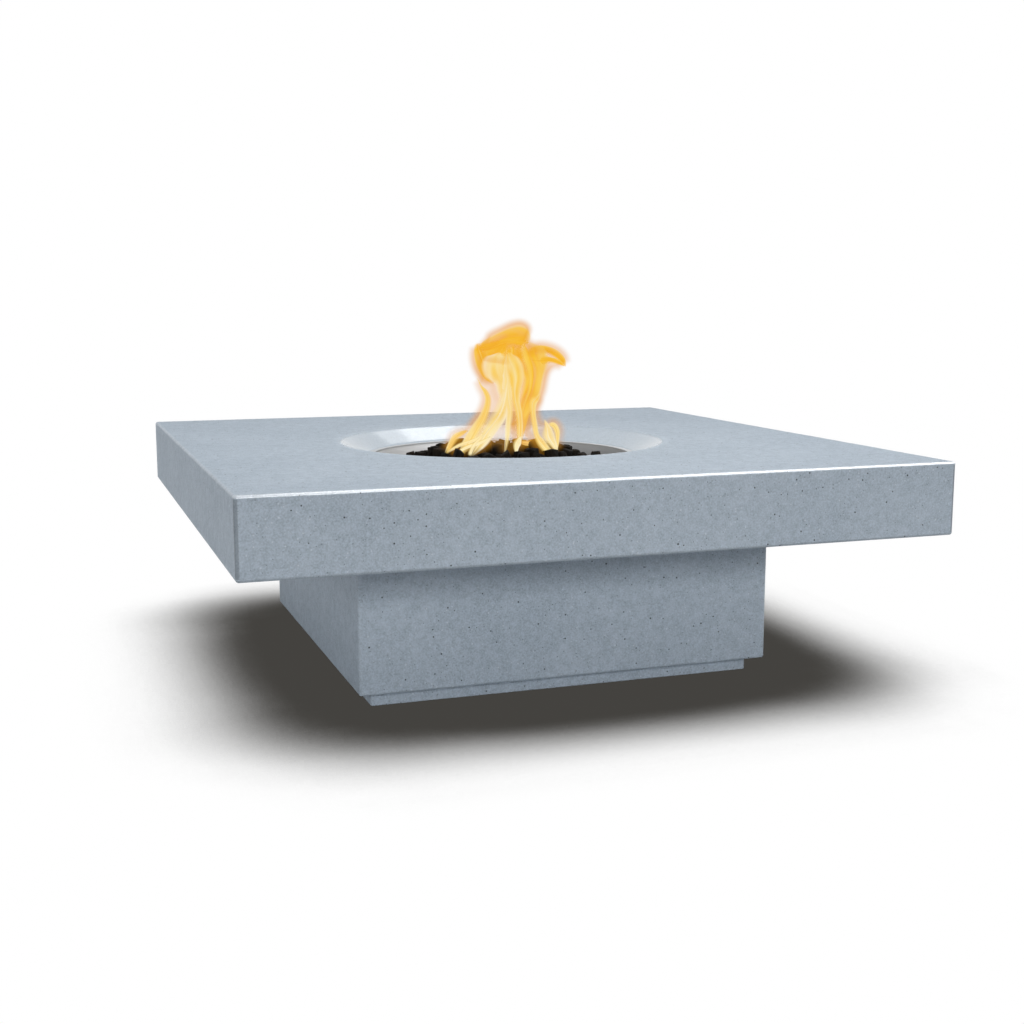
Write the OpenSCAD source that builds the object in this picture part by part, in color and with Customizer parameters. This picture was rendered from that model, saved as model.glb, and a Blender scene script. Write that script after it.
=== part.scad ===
// Square concrete fire pit table: a hollow cast top with a round fire bowl, on a hollow pedestal
// and a set-back plinth. A gas burner lies under lava rock in a drop-in pan. The key valve, the
// igniter and the access door are on the rear, and a vent is on the right.
// Millimetres. The origin is on the ground under the centre, +Z is up and the rear faces +Y.

/* [Concrete] */
// Width and depth of the square top
top_w = 1219.2; // [1180:0.1:1300]
// Height of the top's edge
top_t = 127; // [115:0.1:135]
// Height of the table above the ground
table_h = 406.4; // [400:0.1:430]
// Thickness of the deck
deck_t = 25.4; // [24:0.1:28]
// Thickness of the cast walls
wall_t = 19.05; // [18:0.05:20]
// Width and depth of the pedestal
pedestal_w = 762; // [756:0.1:790]
// Height of the plinth
plinth_h = 25.4; // [24:0.1:30]
// Distance that the plinth stands back from the pedestal's faces
plinth_inset = 25.4; // [22:0.1:28]
// Width of the plinth's ring
plinth_ring_w = 50.8; // [46:0.1:54]
// Radius of the rounding along the cast edges
edge_r = 5; // [3:0.5:8]

/* [Fire bowl] */
// Radius of the bowl's rim
rim_r = 317.5; // [310:0.1:322]
// Radius at the foot of the bowl's slope
slope_r = 266.7; // [264:0.1:272]
// Depth of the slope's foot under the deck's surface
slope_depth = 28.6; // [24:0.1:32]
// Radius of the rounding along the rim
rim_round = 20; // [8:1:26]
// Depth of the burner pan under its flange
pan_depth = 74; // [72:0.5:78]
// Thickness of the sheet steel
sheet_t = 2; // [1.5:0.1:2.5]

/* [Lava rock] */
// Number of rings of rocks around the middle one
rock_rings = 7; // [6:1:8]
// Depth of the rock bed's middle under the deck's surface
bed_top_depth = 36; // [36:1:38]
// Seed of the rocks' shapes
rock_seed = 11; // [1:1:99]

/* [Gas and controls] */
// Radius of the burner's outer ring
burner_r = 160; // [156:1:162]
// Radius of the burner's inner ring
burner_inner_r = 80; // [70:1:90]
// Width of the burner's square tube
burner_tube_w = 19; // [18:0.1:20]
// Height of the valve and the igniter above the ground
control_z = 138; // [134:1:142]
// Distance of the control panel from the middle, towards the left seen from the front
control_x = 200; // [195:1:205]
// Radius of the gas inlet's threaded hole
inlet_r = 9.2; // [8.8:0.1:9.4]
// Radius of the gas hose
hose_r = 7.5; // [7:0.1:7.8]
// Travel of the igniter's button
button_travel = 4; // [2:0.5:5]

/* [Door and vent] */
// Width of the door's opening
door_w = 260; // [240:1:280]
// Height of the door's opening
door_h = 170; // [150:1:176]
// Distance of the door from the middle, towards the right seen from the front
door_x = 110; // [105:1:115]
// Width of the vent's opening
vent_w = 200; // [160:1:240]
// Height of the vent's opening
vent_h = 60; // [50:1:70]

/* [Hidden] */
$fn = 64;

// Colours of the materials
concrete = "#b6bfc9";
stainless = "#c9cbcd";
zinc = "#a9adb1";
brass = "#c3a052";
chrome = "#dfe2e5";
black = "#26272a";
lava = "#2b2623";
ceramic = "#f0ece2";
rubber = "#3a3a3c";

// Gaps: a fastener in its hole, a turning pin in its bore, and a fitting in a sheet's hole
fit_gap = 0.1;
running_gap = 0.05;
hole_gap = 0.2;
// Length by which a cutting shape runs past the face that it cuts
past = 1;

// Steps in the rounding of a cast edge
edge_steps = 3;

// Levels and half widths of the castings
deck_z = table_h - deck_t;
skirt_z = table_h - top_t;
cavity_half = top_w / 2 - wall_t;
rear_y = pedestal_w / 2;
bay_half = rear_y - wall_t;
pad_t = 3;
pad_l = 500;
pad_inset = 4;
pedestal_top = deck_z - pad_t;
flange_t = 25.4;
flange_z = plinth_h + flange_t;
plinth_half = rear_y - plinth_inset;
ground_half = plinth_half - plinth_ring_w;
mid_z = (plinth_h + skirt_z) / 2;

// The bowl: its slope, the rebate for the pan's flange and the collar under the deck
slope_z = table_h - slope_depth;
gasket_t = 1;
ledge_z = slope_z - sheet_t - gasket_t;
pan_flange_r = slope_r - 0.7;
pan_r = slope_r - 11.2;
pan_inner_r = pan_r - sheet_t;
pan_hole_r = pan_r + 2;
pan_floor_z = slope_z - pan_depth;
collar_r = rim_r + 27.5;
collar_z = slope_z - 29.4;

// Threaded inserts, hexagon bolts and washers, all of one thread size
bolt_r = 3.9;
bolt_head_r = 7.5;
bolt_head_h = 5.3;
bolt_hole_r = 4.5;
insert_r = 6.5;
insert_bore_r = 4;
insert_l = 18;
wall_insert_l = 14;
washer_r = 8.5;
washer_t = 1.6;
plinth_bolt_x = 200;
plinth_bolt_y = plinth_half - plinth_ring_w / 2;

// Steel angles that tie the top to the pedestal
cleat_leg = 50;
cleat_t = 5;
cleat_l = 120;
cleat_start = 210;
deck_bolt_offsets = [45, 75];
wall_bolt_offsets = [20, 100];
deck_bolt_inset = 28;
wall_bolt_drop = 30;
deck_bolt_grip = 15;
wall_bolt_grip = 12;

// The burner, its nipple and the elbow under the pan
burner_z = pan_floor_z + 22.6;
burner_wall = 2;
burner_corner = 2;
spoke_w = 12;
spoke_angles = [45, 135];
hub_r = 20;
hub_h = 34;
nipple_r = 10.5;
nipple_l = 28.8;
port_r = 1.5;
port_pitch = 21;
nipple_gap = 0.3;
weep_holes = 6;
weep_r = 4;
weep_inset = 38;
burner_nut_r = 19;
burner_nut_h = 10;
elbow_z = pan_floor_z - 41.8;
elbow_r = 15;
elbow_h = 27;
elbow_arm_r = 12;
elbow_arm = 44;
gas_bore_r = 4.5;

// Hose ends: a male stub with a hexagon nut over it
stub_r = 8;
stub_l = 16;
hose_nut_r = 14;
hose_nut_l = 26;
hose_nut_gap = 2;

// The valve stands over the ground opening, so that its inlet can be reached from below
valve_x = -control_x - 28;
valve_y = ground_half - 30;
valve_r = 15;
valve_boss_r = 14;
valve_drop = 40;
valve_rise = 18;
inlet_l = 18;
inlet_z = control_z - valve_drop;
outlet_z = control_z + valve_rise;
stem_r = 7;
stem_back = 10.5;
stem_front = 33.5;
stem_head_l = 16;
socket_w = 8.4;
key_square = 8;
key_r = 5;
sleeve_r = 10;
sleeve_bore_r = 7.5;
sleeve_out = 10;
sleeve_nut_r = 17;
sleeve_nut_h = 8;
valve_back = 17;
valve_front = 25;
bonnet_end = 52;
escutcheon_r = 30;
escutcheon_t = 2;
escutcheon_edge = 3;
escutcheon_hub_r = 15;
escutcheon_hub_l = 9;
key_out = 68;
key_square_l = 20;
key_collar_r = 8;
key_collar_l = 16;
key_bar_r = 6;
key_bar_l = 76;

// The control panel and its cut-out
panel_w = 140;
panel_h = 110;
panel_cut_w = 110;
panel_cut_h = 80;
panel_face = rear_y + sheet_t;
screw_r = 2.4;
screw_l = 14;
screw_head_r = 4.5;
screw_head_h = 2.4;
screw_hole_r = 2.7;
screw_inset = 16;
frame_border = 20;
plate_corner_r = 6;

// The igniter and its electrode
igniter_x = -control_x + 30;
igniter_r = 10.5;
igniter_flange_r = 15;
igniter_flange_t = 3.5;
igniter_l = 45;
igniter_nut_r = 15.5;
igniter_nut_h = 7;
terminal_l = 8;
wire_r = 2.5;
button_r = 8;
button_inside = 25;
button_out = 8;
button_bevel = 1;
button_stop = 2;
electrode_r = 178.4;
electrode_x = igniter_x;
electrode_y = sqrt(electrode_r * electrode_r - electrode_x * electrode_x);
insulator_r = 4;
electrode_bottom = pan_floor_z - 9.8;
insulator_top = pan_floor_z + 14.2;
electrode_top = pan_floor_z + 36;
clip_offsets = [50, 100];
clip_l = 10;
clip_wall = 1.5;
clip_gap = 0.3;
shoulder_h = 5;
shoulder_out = 3;
electrode_nut_r = 8;
electrode_nut_h = 5;
tip_r = 1.2;
pocket_r = 9.5;
pocket_gap = 3;

// The door turns on two pins in its frame
sleeve_gap = 0.5;
frame_inner_w = door_w - 2 * (sleeve_gap + sheet_t);
frame_inner_h = door_h - 2 * (sleeve_gap + sheet_t);
hinge_x = door_x + frame_inner_w / 2 - 8.5;
hinge_y = rear_y - 5;
hinge_edge = hinge_x + 3;
free_edge = door_x - frame_inner_w / 2 + 3;
panel_back = rear_y - 3;
door_half_h = frame_inner_h / 2 - 2.5;
pin_r = 2.5;
pin_collar = 2;
pin_gap = 0.3;
ear_t = 3;
ear_out = 6;
frame_depth = 4;
door_rows = 5;
door_slot_w = 180;
vent_rows = 3;
vent_slot_inset = 20;
louvre_pitch = 22;
slot_h = 7;
hood_out = 8;
hood_root = 4.2;
hood_drop = 2;
hood_t = 1.6;
pull_inset = 22;
pull_out = 22;
pull_post_r = 3.5;
pull_post_z = 30;
pull_bar_r = 4;
pull_bar_l = 76;
magnet_w = 12.5;
magnet_d = 11.6;
magnet_h = 30;
magnet_gap = 0.4;

// The rock bed rises in terraces: outer radius and top level of each. A rock's levels are shares
// of its height and radius
rock_pitch = (pan_inner_r - 25.5) / rock_rings;
rock_r = 0.48 * rock_pitch;
bed_r = pan_inner_r - 1;
terraces = [
    [(rock_rings - 2.5) * rock_pitch, table_h - bed_top_depth],
    [(rock_rings - 1.5) * rock_pitch, table_h - bed_top_depth - 24],
    [(rock_rings - 0.5) * rock_pitch, table_h - bed_top_depth - 30],
    [bed_r, table_h - bed_top_depth - 40]
];
rock_heights = [17, 26];
mound_rise = 4;
peak_rise = 12;
peak_rings = 2;
rock_levels = [[0, 0.88], [0.45, 1], [1, 0.78]];
ring_turn = 17;
rest_gap = 0.05;
groove_gap = 1;

// Routes in a vertical plane: distances along the plane and heights, from each end's fitting
hose_start = [elbow_arm + hose_nut_gap + hose_nut_l, elbow_z];
hose_end = [norm([valve_x, valve_y]), outlet_z + hose_nut_gap + hose_nut_l];
hose_leave = [[0, 0], [10, 0], [24, 0], [60, 1], [110, 2], [160, 2], [205, 1]];
hose_arrive = [[-58, 76], [-34, 68], [-14, 52], [-3, 32], [0, 18], [0, 9], [0, 0]];
wire_start = [panel_face - igniter_l - terminal_l, control_z];
wire_end = [electrode_y, electrode_bottom];
wire_leave = [[0, 0], [-6, 0], [-14, 0], [-25, 3], [-32, 12], [-34, 26], [-34, 60], [-34, 100]];
wire_arrive = [
    [241, -42], [238, -28], [230, -17], [216, -12], [180, -12], [130, -12], [80, -12],
    [32, -12], [12, -11.5], [3, -9], [0, -5], [0, -2.5], [0, 0]
];

// Points of a rectangle about the origin, with rounded corners
function rounded_rect(w, h, r, steps = 5) = [
    for (c = [[1, 1, 0], [-1, 1, 90], [-1, -1, 180], [1, -1, 270]])
        for (i = [0:steps])
            let (a = c[2] + 90 * i / steps)
                [c[0] * (w / 2 - r) + r * cos(a), c[1] * (h / 2 - r) + r * sin(a)]
];

// A smooth curve through the points, with a number of steps between each pair
function curve_point(p, i, t) =
    let (
        a = p[max(i - 1, 0)],
        b = p[i],
        c = p[i + 1],
        d = p[min(i + 2, len(p) - 1)]
    )
    0.5 * (2 * b + (c - a) * t + (2 * a - 5 * b + 4 * c - d) * t * t
        + (3 * b - a - 3 * c + d) * t * t * t);
function curve(p, steps) = concat(
    [for (i = [0:len(p) - 2]) for (k = [0:steps - 1]) curve_point(p, i, k / steps)],
    [p[len(p) - 1]]
);

// Points of a tube around a route that lies in a plane with the given normal
function unit(v) = v / norm(v);
function tube_points(p, normal, r, sides) = [
    for (i = [0:len(p) - 1])
        let (
            along = unit(p[min(i + 1, len(p) - 1)] - p[max(i - 1, 0)]),
            across = cross(normal, along)
        )
        for (j = [0:sides - 1])
            let (a = 360 * j / sides)
                p[i] + r * (cos(a) * normal + sin(a) * across)
];
function stack_faces(rings, sides) = concat(
    [[for (j = [0:sides - 1]) j]],
    [
        for (i = [0:rings - 2])
            for (j = [0:sides - 1])
                let (a = i * sides + j, b = i * sides + (j + 1) % sides)
                    [a, a + sides, b + sides, b]
    ],
    [[for (j = [sides - 1:-1:0]) (rings - 1) * sides + j]]
);

// A tube along a route
module tube(route, normal, r, sides) {
    polyhedron(tube_points(route, normal, r, sides), stack_faces(len(route), sides));
}

// A square block with all its edges rounded, standing on the plane z = 0
module rounded_block(w, h, r) {
    outline = rounded_rect(w, h, r, edge_steps);
    intersection() {
        linear_extrude(h) polygon(rounded_rect(w, w, r, edge_steps));
        translate([0, w / 2, h / 2]) rotate([90, 0, 0]) linear_extrude(w) polygon(outline);
        translate([-w / 2, 0, h / 2]) rotate([90, 0, 90]) linear_extrude(w) polygon(outline);
    }
}

// A box centred in x and y, standing on the plane z = 0
module slab(w, d, h) {
    translate([-w / 2, -d / 2, 0]) cube([w, d, h]);
}

// Turns children so that their z axis points to the rear, or away from the middle to the valve
module to_rear(x, y, z) {
    translate([x, y, z]) rotate([-90, 0, 0]) children();
}
module to_valve(s, z) {
    rotate(atan2(valve_y, valve_x)) translate([s, 0, z]) rotate([0, 90, 0]) children();
}

// Repeats a piece on the pedestal's four sides, drawn on the right side
module each_side() {
    for (k = [0:3])
        rotate(90 * k) children();
}
module each_deck_bolt() {
    each_side()
        for (y = deck_bolt_offsets)
            translate([bay_half - deck_bolt_inset, cleat_start + y, deck_z]) children();
}
module each_wall_bolt() {
    each_side()
        for (y = wall_bolt_offsets)
            translate([bay_half, cleat_start + y, deck_z - wall_bolt_drop]) rotate([0, 90, 0]) children();
}
module each_plinth_bolt() {
    each_side()
        for (y = [-plinth_bolt_x, plinth_bolt_x])
            translate([plinth_bolt_y, y, 0]) children();
}

// Repeats a screw at the corners of a rectangle on the rear face
module each_corner(x, y, z, w, h) {
    for (i = [-1, 1])
        for (j = [-1, 1])
            to_rear(x + i * w / 2, y, z + j * h / 2) children();
}
module each_panel_screw(y) {
    each_corner(-control_x, y, control_z, panel_w - screw_inset, panel_h - screw_inset) children();
}
module each_door_screw(y) {
    each_corner(door_x, y, mid_z, door_w + frame_border, door_h + frame_border) children();
}
module each_vent_screw(y) {
    rotate(-90) each_corner(0, y, mid_z, vent_w + frame_border, vent_h + frame_border) children();
}

// Fasteners: a bolt's shank points up from its bearing face, a screw's head points up
module hex_bolt(shank_l) {
    cylinder(r = bolt_r, h = shank_l);
    translate([0, 0, -bolt_head_h]) cylinder(r = bolt_head_r, h = bolt_head_h, $fn = 6);
}
module insert(l) {
    difference() {
        cylinder(r = insert_r, h = l);
        translate([0, 0, -past]) cylinder(r = insert_bore_r, h = l + 2 * past);
    }
}
module pan_screw() {
    translate([0, 0, -screw_l]) cylinder(r = screw_r, h = screw_l);
    cylinder(r = screw_head_r, h = screw_head_h);
}
module screw_hole() {
    translate([0, 0, -screw_l - past]) cylinder(r = screw_r + fit_gap, h = screw_l + 2 * past);
}
module hex_nut(r, bore_r, h) {
    difference() {
        cylinder(r = r, h = h, $fn = 6);
        translate([0, 0, -past]) cylinder(r = bore_r, h = h + 2 * past);
    }
}
// A nut that turns over a hose stub, closed at its far end but for the gas bore
module hose_nut() {
    difference() {
        cylinder(r = hose_nut_r, h = hose_nut_l, $fn = 6);
        translate([0, 0, -past]) cylinder(r = stub_r + fit_gap, h = stub_l + past);
        cylinder(r = gas_bore_r, h = hose_nut_l + past);
    }
}

// A plate with rows of hooded slots, back on the plane y = 0, facing the rear
module louvre_plate(w, h, slot_w, rows) {
    difference() {
        translate([-w / 2, 0, -h / 2]) cube([w, sheet_t, h]);
        for (i = [0:rows - 1])
            translate([-slot_w / 2, -past, louvre_z(i, rows) - slot_h / 2])
                cube([slot_w, sheet_t + 2 * past, slot_h]);
    }
    for (i = [0:rows - 1])
        translate([-slot_w / 2, sheet_t, louvre_z(i, rows)]) rotate([90, 0, 90])
            linear_extrude(slot_w)
                polygon([
                    [-sheet_t / 2, hood_root + hood_t], [hood_out, -hood_drop],
                    [hood_out, -hood_drop - hood_t], [-sheet_t / 2, hood_root]
                ]);
}
function louvre_z(i, rows) = (i - (rows - 1) / 2) * louvre_pitch;

// Concrete castings
module bowl_cut() {
    slope = atan2(slope_depth, rim_r - slope_r);
    round_x = rim_r + rim_round * tan(slope / 2);
    round_z = table_h - rim_round;
    rim = [
        for (i = [0:4])
            let (a = 90 + slope * i / 4)
                [round_x + rim_round * cos(a), round_z + rim_round * sin(a)]
    ];
    rotate_extrude()
        polygon(concat(
            [[0, table_h + past], [round_x, table_h + past]],
            rim,
            [
                [slope_r, slope_z], [slope_r, ledge_z], [pan_hole_r, ledge_z],
                [pan_hole_r, collar_z - past], [0, collar_z - past]
            ]
        ));
}
module table_top() {
    color(concrete)
        difference() {
            union() {
                difference() {
                    translate([0, 0, skirt_z]) rounded_block(top_w, top_t, edge_r);
                    translate([0, 0, skirt_z - past])
                        slab(2 * cavity_half, 2 * cavity_half, top_t - deck_t + past);
                }
                translate([0, 0, collar_z]) cylinder(r = collar_r, h = deck_z + past - collar_z);
            }
            bowl_cut();
            each_deck_bolt()
                translate([0, 0, -past]) cylinder(r = insert_r + fit_gap, h = insert_l + past);
        }
}
module pedestal() {
    body_h = pedestal_top - plinth_h;
    color(concrete)
        difference() {
            translate([0, 0, plinth_h]) rounded_block(pedestal_w, body_h + 2 * edge_r, edge_r);
            translate([0, 0, pedestal_top]) slab(pedestal_w + past, pedestal_w + past, 3 * edge_r);
            translate([0, 0, flange_z]) slab(2 * bay_half, 2 * bay_half, body_h);
            slab(2 * ground_half, 2 * ground_half, table_h);
            translate([door_x, rear_y, mid_z - door_h / 2]) slab(door_w, 3 * wall_t, door_h);
            translate([-control_x, rear_y, control_z - panel_cut_h / 2])
                slab(panel_cut_w, 3 * wall_t, panel_cut_h);
            translate([rear_y, 0, mid_z - vent_h / 2]) slab(3 * wall_t, vent_w, vent_h);
            each_wall_bolt()
                translate([0, 0, -past]) cylinder(r = insert_r + fit_gap, h = wall_insert_l + past);
            each_plinth_bolt()
                cylinder(r = bolt_hole_r, h = flange_z + past);
            each_panel_screw(rear_y) screw_hole();
            each_door_screw(rear_y) screw_hole();
            each_vent_screw(rear_y) screw_hole();
        }
}
module plinth() {
    color(concrete)
        difference() {
            linear_extrude(plinth_h)
                polygon(rounded_rect(2 * plinth_half, 2 * plinth_half, edge_r, edge_steps));
            translate([0, 0, -past]) slab(2 * ground_half, 2 * ground_half, plinth_h + 2 * past);
            each_plinth_bolt()
                translate([0, 0, plinth_h - insert_l])
                    cylinder(r = insert_r + fit_gap, h = insert_l + past);
        }
}

// What ties the castings together
module deck_inserts() {
    color(brass) each_deck_bolt() insert(insert_l);
}
module wall_inserts() {
    color(brass) each_wall_bolt() insert(wall_insert_l);
}
module plinth_inserts() {
    color(brass) each_plinth_bolt() translate([0, 0, plinth_h - insert_l]) insert(insert_l);
}
module plinth_bolts() {
    color(zinc)
        each_plinth_bolt()
            translate([0, 0, flange_z + washer_t]) rotate([180, 0, 0])
                hex_bolt(flange_t + washer_t + deck_bolt_grip);
}
module plinth_washers() {
    color(zinc)
        each_plinth_bolt()
            translate([0, 0, flange_z])
                difference() {
                    cylinder(r = washer_r, h = washer_t);
                    translate([0, 0, -past]) cylinder(r = bolt_r + fit_gap, h = washer_t + 2 * past);
                }
}
module support_cleats() {
    color(zinc)
        difference() {
            each_side()
                translate([bay_half, cleat_start, deck_z]) {
                    translate([-cleat_t, 0, -cleat_leg]) cube([cleat_t, cleat_l, cleat_leg]);
                    translate([-cleat_leg, 0, -cleat_t]) cube([cleat_leg, cleat_l, cleat_t]);
                }
            each_deck_bolt()
                translate([0, 0, -cleat_t - past]) cylinder(r = bolt_hole_r, h = cleat_t + 2 * past);
            each_wall_bolt()
                translate([0, 0, -cleat_t - past]) cylinder(r = bolt_hole_r, h = cleat_t + 2 * past);
        }
}
module cleat_deck_bolts() {
    color(zinc) each_deck_bolt() translate([0, 0, -cleat_t]) hex_bolt(cleat_t + deck_bolt_grip);
}
module cleat_wall_bolts() {
    color(zinc) each_wall_bolt() translate([0, 0, -cleat_t]) hex_bolt(cleat_t + wall_bolt_grip);
}
module bearing_pads() {
    color(rubber)
        each_side()
            translate([(bay_half + rear_y) / 2, 0, pedestal_top]) slab(wall_t - pad_inset, pad_l, pad_t);
}

// Burner pan and burner
module burner_pan() {
    color(stainless)
        difference() {
            rotate_extrude()
                polygon([
                    [nipple_r + nipple_gap, pan_floor_z - sheet_t], [pan_r, pan_floor_z - sheet_t],
                    [pan_r, slope_z - sheet_t], [pan_flange_r, slope_z - sheet_t],
                    [pan_flange_r, slope_z], [pan_inner_r, slope_z],
                    [pan_inner_r, pan_floor_z], [nipple_r + nipple_gap, pan_floor_z]
                ]);
            translate([electrode_x, electrode_y, pan_floor_z - sheet_t - past])
                cylinder(r = insulator_r + hole_gap, h = sheet_t + 2 * past);
            for (i = [0:weep_holes - 1])
                rotate(360 * (i + 0.5) / weep_holes)
                    translate([pan_inner_r - weep_inset, 0, pan_floor_z - sheet_t - past])
                        cylinder(r = weep_r, h = sheet_t + 2 * past);
        }
}
module pan_gasket() {
    color(black)
        translate([0, 0, ledge_z])
            difference() {
                cylinder(r = pan_flange_r - 0.5, h = gasket_t);
                translate([0, 0, -past]) cylinder(r = pan_hole_r + 1, h = gasket_t + 2 * past);
            }
}
module burner_tubes(tube_w, corner, arm_w) {
    for (r = [burner_inner_r, burner_r])
        translate([0, 0, burner_z]) rotate_extrude()
            translate([r, 0]) polygon(rounded_rect(tube_w, tube_w, corner, 1));
    for (a = spoke_angles)
        rotate(a) translate([0, 0, burner_z - arm_w / 2]) slab(2 * burner_r, arm_w, arm_w);
}
function port_count(r) = floor(2 * PI * r / port_pitch);
module burner_ring() {
    color(stainless)
        difference() {
            union() {
                burner_tubes(burner_tube_w, burner_corner, spoke_w);
                translate([0, 0, pan_floor_z]) cylinder(r = hub_r, h = hub_h);
                translate([0, 0, pan_floor_z - nipple_l]) cylinder(r = nipple_r, h = nipple_l + past);
            }
            burner_tubes(
                burner_tube_w - 2 * burner_wall, burner_corner / 2, spoke_w - 2 * burner_wall
            );
            translate([0, 0, pan_floor_z - nipple_l - past])
                cylinder(r = gas_bore_r, h = burner_z + nipple_l + past - pan_floor_z);
            for (r = [burner_inner_r, burner_r])
                for (i = [0:port_count(r) - 1])
                    rotate(360 * i / port_count(r)) translate([r, 0, burner_z])
                        cylinder(r = port_r, h = burner_tube_w / 2 + past);
        }
}
module burner_locknut() {
    color(brass)
        translate([0, 0, pan_floor_z - sheet_t - burner_nut_h])
            hex_nut(burner_nut_r, nipple_r + fit_gap, burner_nut_h);
}

// Gas line from the burner to the valve
module gas_elbow() {
    color(brass)
        difference() {
            union() {
                translate([0, 0, elbow_z]) cylinder(r = elbow_r, h = elbow_h);
                translate([0, 0, elbow_z]) sphere(r = elbow_r + 0.5);
                to_valve(0, elbow_z) cylinder(r = elbow_arm_r, h = elbow_arm);
                to_valve(0, elbow_z) cylinder(r = stub_r, h = elbow_arm + stub_l);
            }
            translate([0, 0, pan_floor_z - nipple_l - past]) cylinder(r = nipple_r + fit_gap, h = nipple_l);
            translate([0, 0, elbow_z]) cylinder(r = gas_bore_r, h = elbow_h);
            to_valve(0, elbow_z) cylinder(r = gas_bore_r, h = elbow_arm + stub_l + past);
        }
}
module elbow_nut() {
    color(brass) to_valve(elbow_arm + hose_nut_gap, elbow_z) hose_nut();
}
module gas_hose() {
    out = unit([valve_x, valve_y, 0]);
    flat = concat(
        [for (p = hose_leave) hose_start + p],
        [for (p = hose_arrive) hose_end + p]
    );
    color(stainless)
        tube([for (p = curve(flat, 2)) p[0] * out + [0, 0, p[1]]], cross(out, [0, 0, 1]), hose_r, 12);
}
module outlet_nut() {
    color(brass) translate([valve_x, valve_y, outlet_z + hose_nut_gap]) hose_nut();
}

// Key valve
module valve_body() {
    color(brass)
        difference() {
            union() {
                to_rear(valve_x, valve_y - valve_back, control_z)
                    cylinder(r = valve_r, h = valve_back + valve_front);
                to_rear(valve_x, valve_y, control_z) cylinder(r = valve_boss_r, h = bonnet_end);
                translate([valve_x, valve_y, inlet_z]) {
                    cylinder(r = valve_boss_r, h = outlet_z - inlet_z);
                    cylinder(r = stub_r, h = outlet_z + stub_l - inlet_z);
                }
            }
            to_rear(valve_x, valve_y - stem_back - 0.5, control_z)
                cylinder(r = stem_r + running_gap, h = stem_back + stem_front + past);
            to_rear(valve_x, valve_y + stem_front + 0.5, control_z)
                cylinder(r = sleeve_r + fit_gap, h = bonnet_end);
            translate([valve_x, valve_y, inlet_z - past]) cylinder(r = inlet_r, h = inlet_l + past);
            translate([valve_x, valve_y, inlet_z]) cylinder(r = gas_bore_r, h = table_h);
        }
}
module valve_stem() {
    color(brass)
        difference() {
            union() {
                to_rear(valve_x, valve_y - stem_back, control_z)
                    cylinder(r = stem_r, h = stem_back + stem_front);
                to_rear(valve_x, valve_y, control_z)
                    cylinder(r = stem_r - hole_gap, h = stem_front + stem_head_l);
            }
            to_rear(valve_x, valve_y + stem_front + 2, control_z) slab(socket_w, socket_w, stem_head_l);
            translate([valve_x, valve_y, control_z - stem_r - past])
                cylinder(r = gas_bore_r, h = 2 * (stem_r + past));
        }
}
module valve_sleeve() {
    start = valve_y + stem_front + 1.5;
    color(zinc)
        to_rear(valve_x, start, control_z)
            difference() {
                cylinder(r = sleeve_r, h = panel_face + sleeve_out - start);
                translate([0, 0, -past])
                    cylinder(r = sleeve_bore_r, h = panel_face + sleeve_out - start + 2 * past);
            }
}
module sleeve_locknut() {
    color(zinc)
        to_rear(valve_x, rear_y - sleeve_nut_h, control_z)
            hex_nut(sleeve_nut_r, sleeve_r + fit_gap, sleeve_nut_h);
}
module valve_escutcheon() {
    color(chrome)
        to_rear(valve_x, panel_face, control_z)
            difference() {
                union() {
                    cylinder(r = escutcheon_r, h = escutcheon_t);
                    translate([0, 0, escutcheon_t])
                        cylinder(r1 = escutcheon_r, r2 = escutcheon_r - escutcheon_edge, h = escutcheon_t);
                    cylinder(r = escutcheon_hub_r, h = escutcheon_hub_l);
                }
                translate([0, 0, -past]) cylinder(r = sleeve_r + fit_gap, h = escutcheon_hub_l + 2 * past);
            }
}
module valve_key() {
    start = valve_y + stem_front + 3;
    reach = rear_y + key_out - start;
    color(chrome) {
        to_rear(valve_x, start, control_z) slab(key_square, key_square, key_square_l);
        to_rear(valve_x, start + key_square_l - past, control_z)
            cylinder(r = key_r, h = reach - key_square_l + past);
        to_rear(valve_x, rear_y + key_out - key_collar_l / 2, control_z)
            cylinder(r = key_collar_r, h = key_collar_l);
        translate([valve_x, rear_y + key_out, control_z - key_bar_l / 2])
            cylinder(r = key_bar_r, h = key_bar_l);
    }
}

// Control panel
module control_panel() {
    color(stainless)
        difference() {
            translate([-control_x, rear_y, control_z]) rotate([-90, 0, 0])
                linear_extrude(sheet_t) polygon(rounded_rect(panel_w, panel_h, plate_corner_r));
            to_rear(valve_x, rear_y - past, control_z)
                cylinder(r = sleeve_r + hole_gap, h = sheet_t + 2 * past);
            to_rear(igniter_x, rear_y - past, control_z)
                cylinder(r = igniter_r + hole_gap, h = sheet_t + 2 * past);
            each_panel_screw(rear_y - past) cylinder(r = screw_hole_r, h = sheet_t + 2 * past);
        }
}
module panel_screws() {
    color(zinc) each_panel_screw(panel_face) pan_screw();
}

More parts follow.
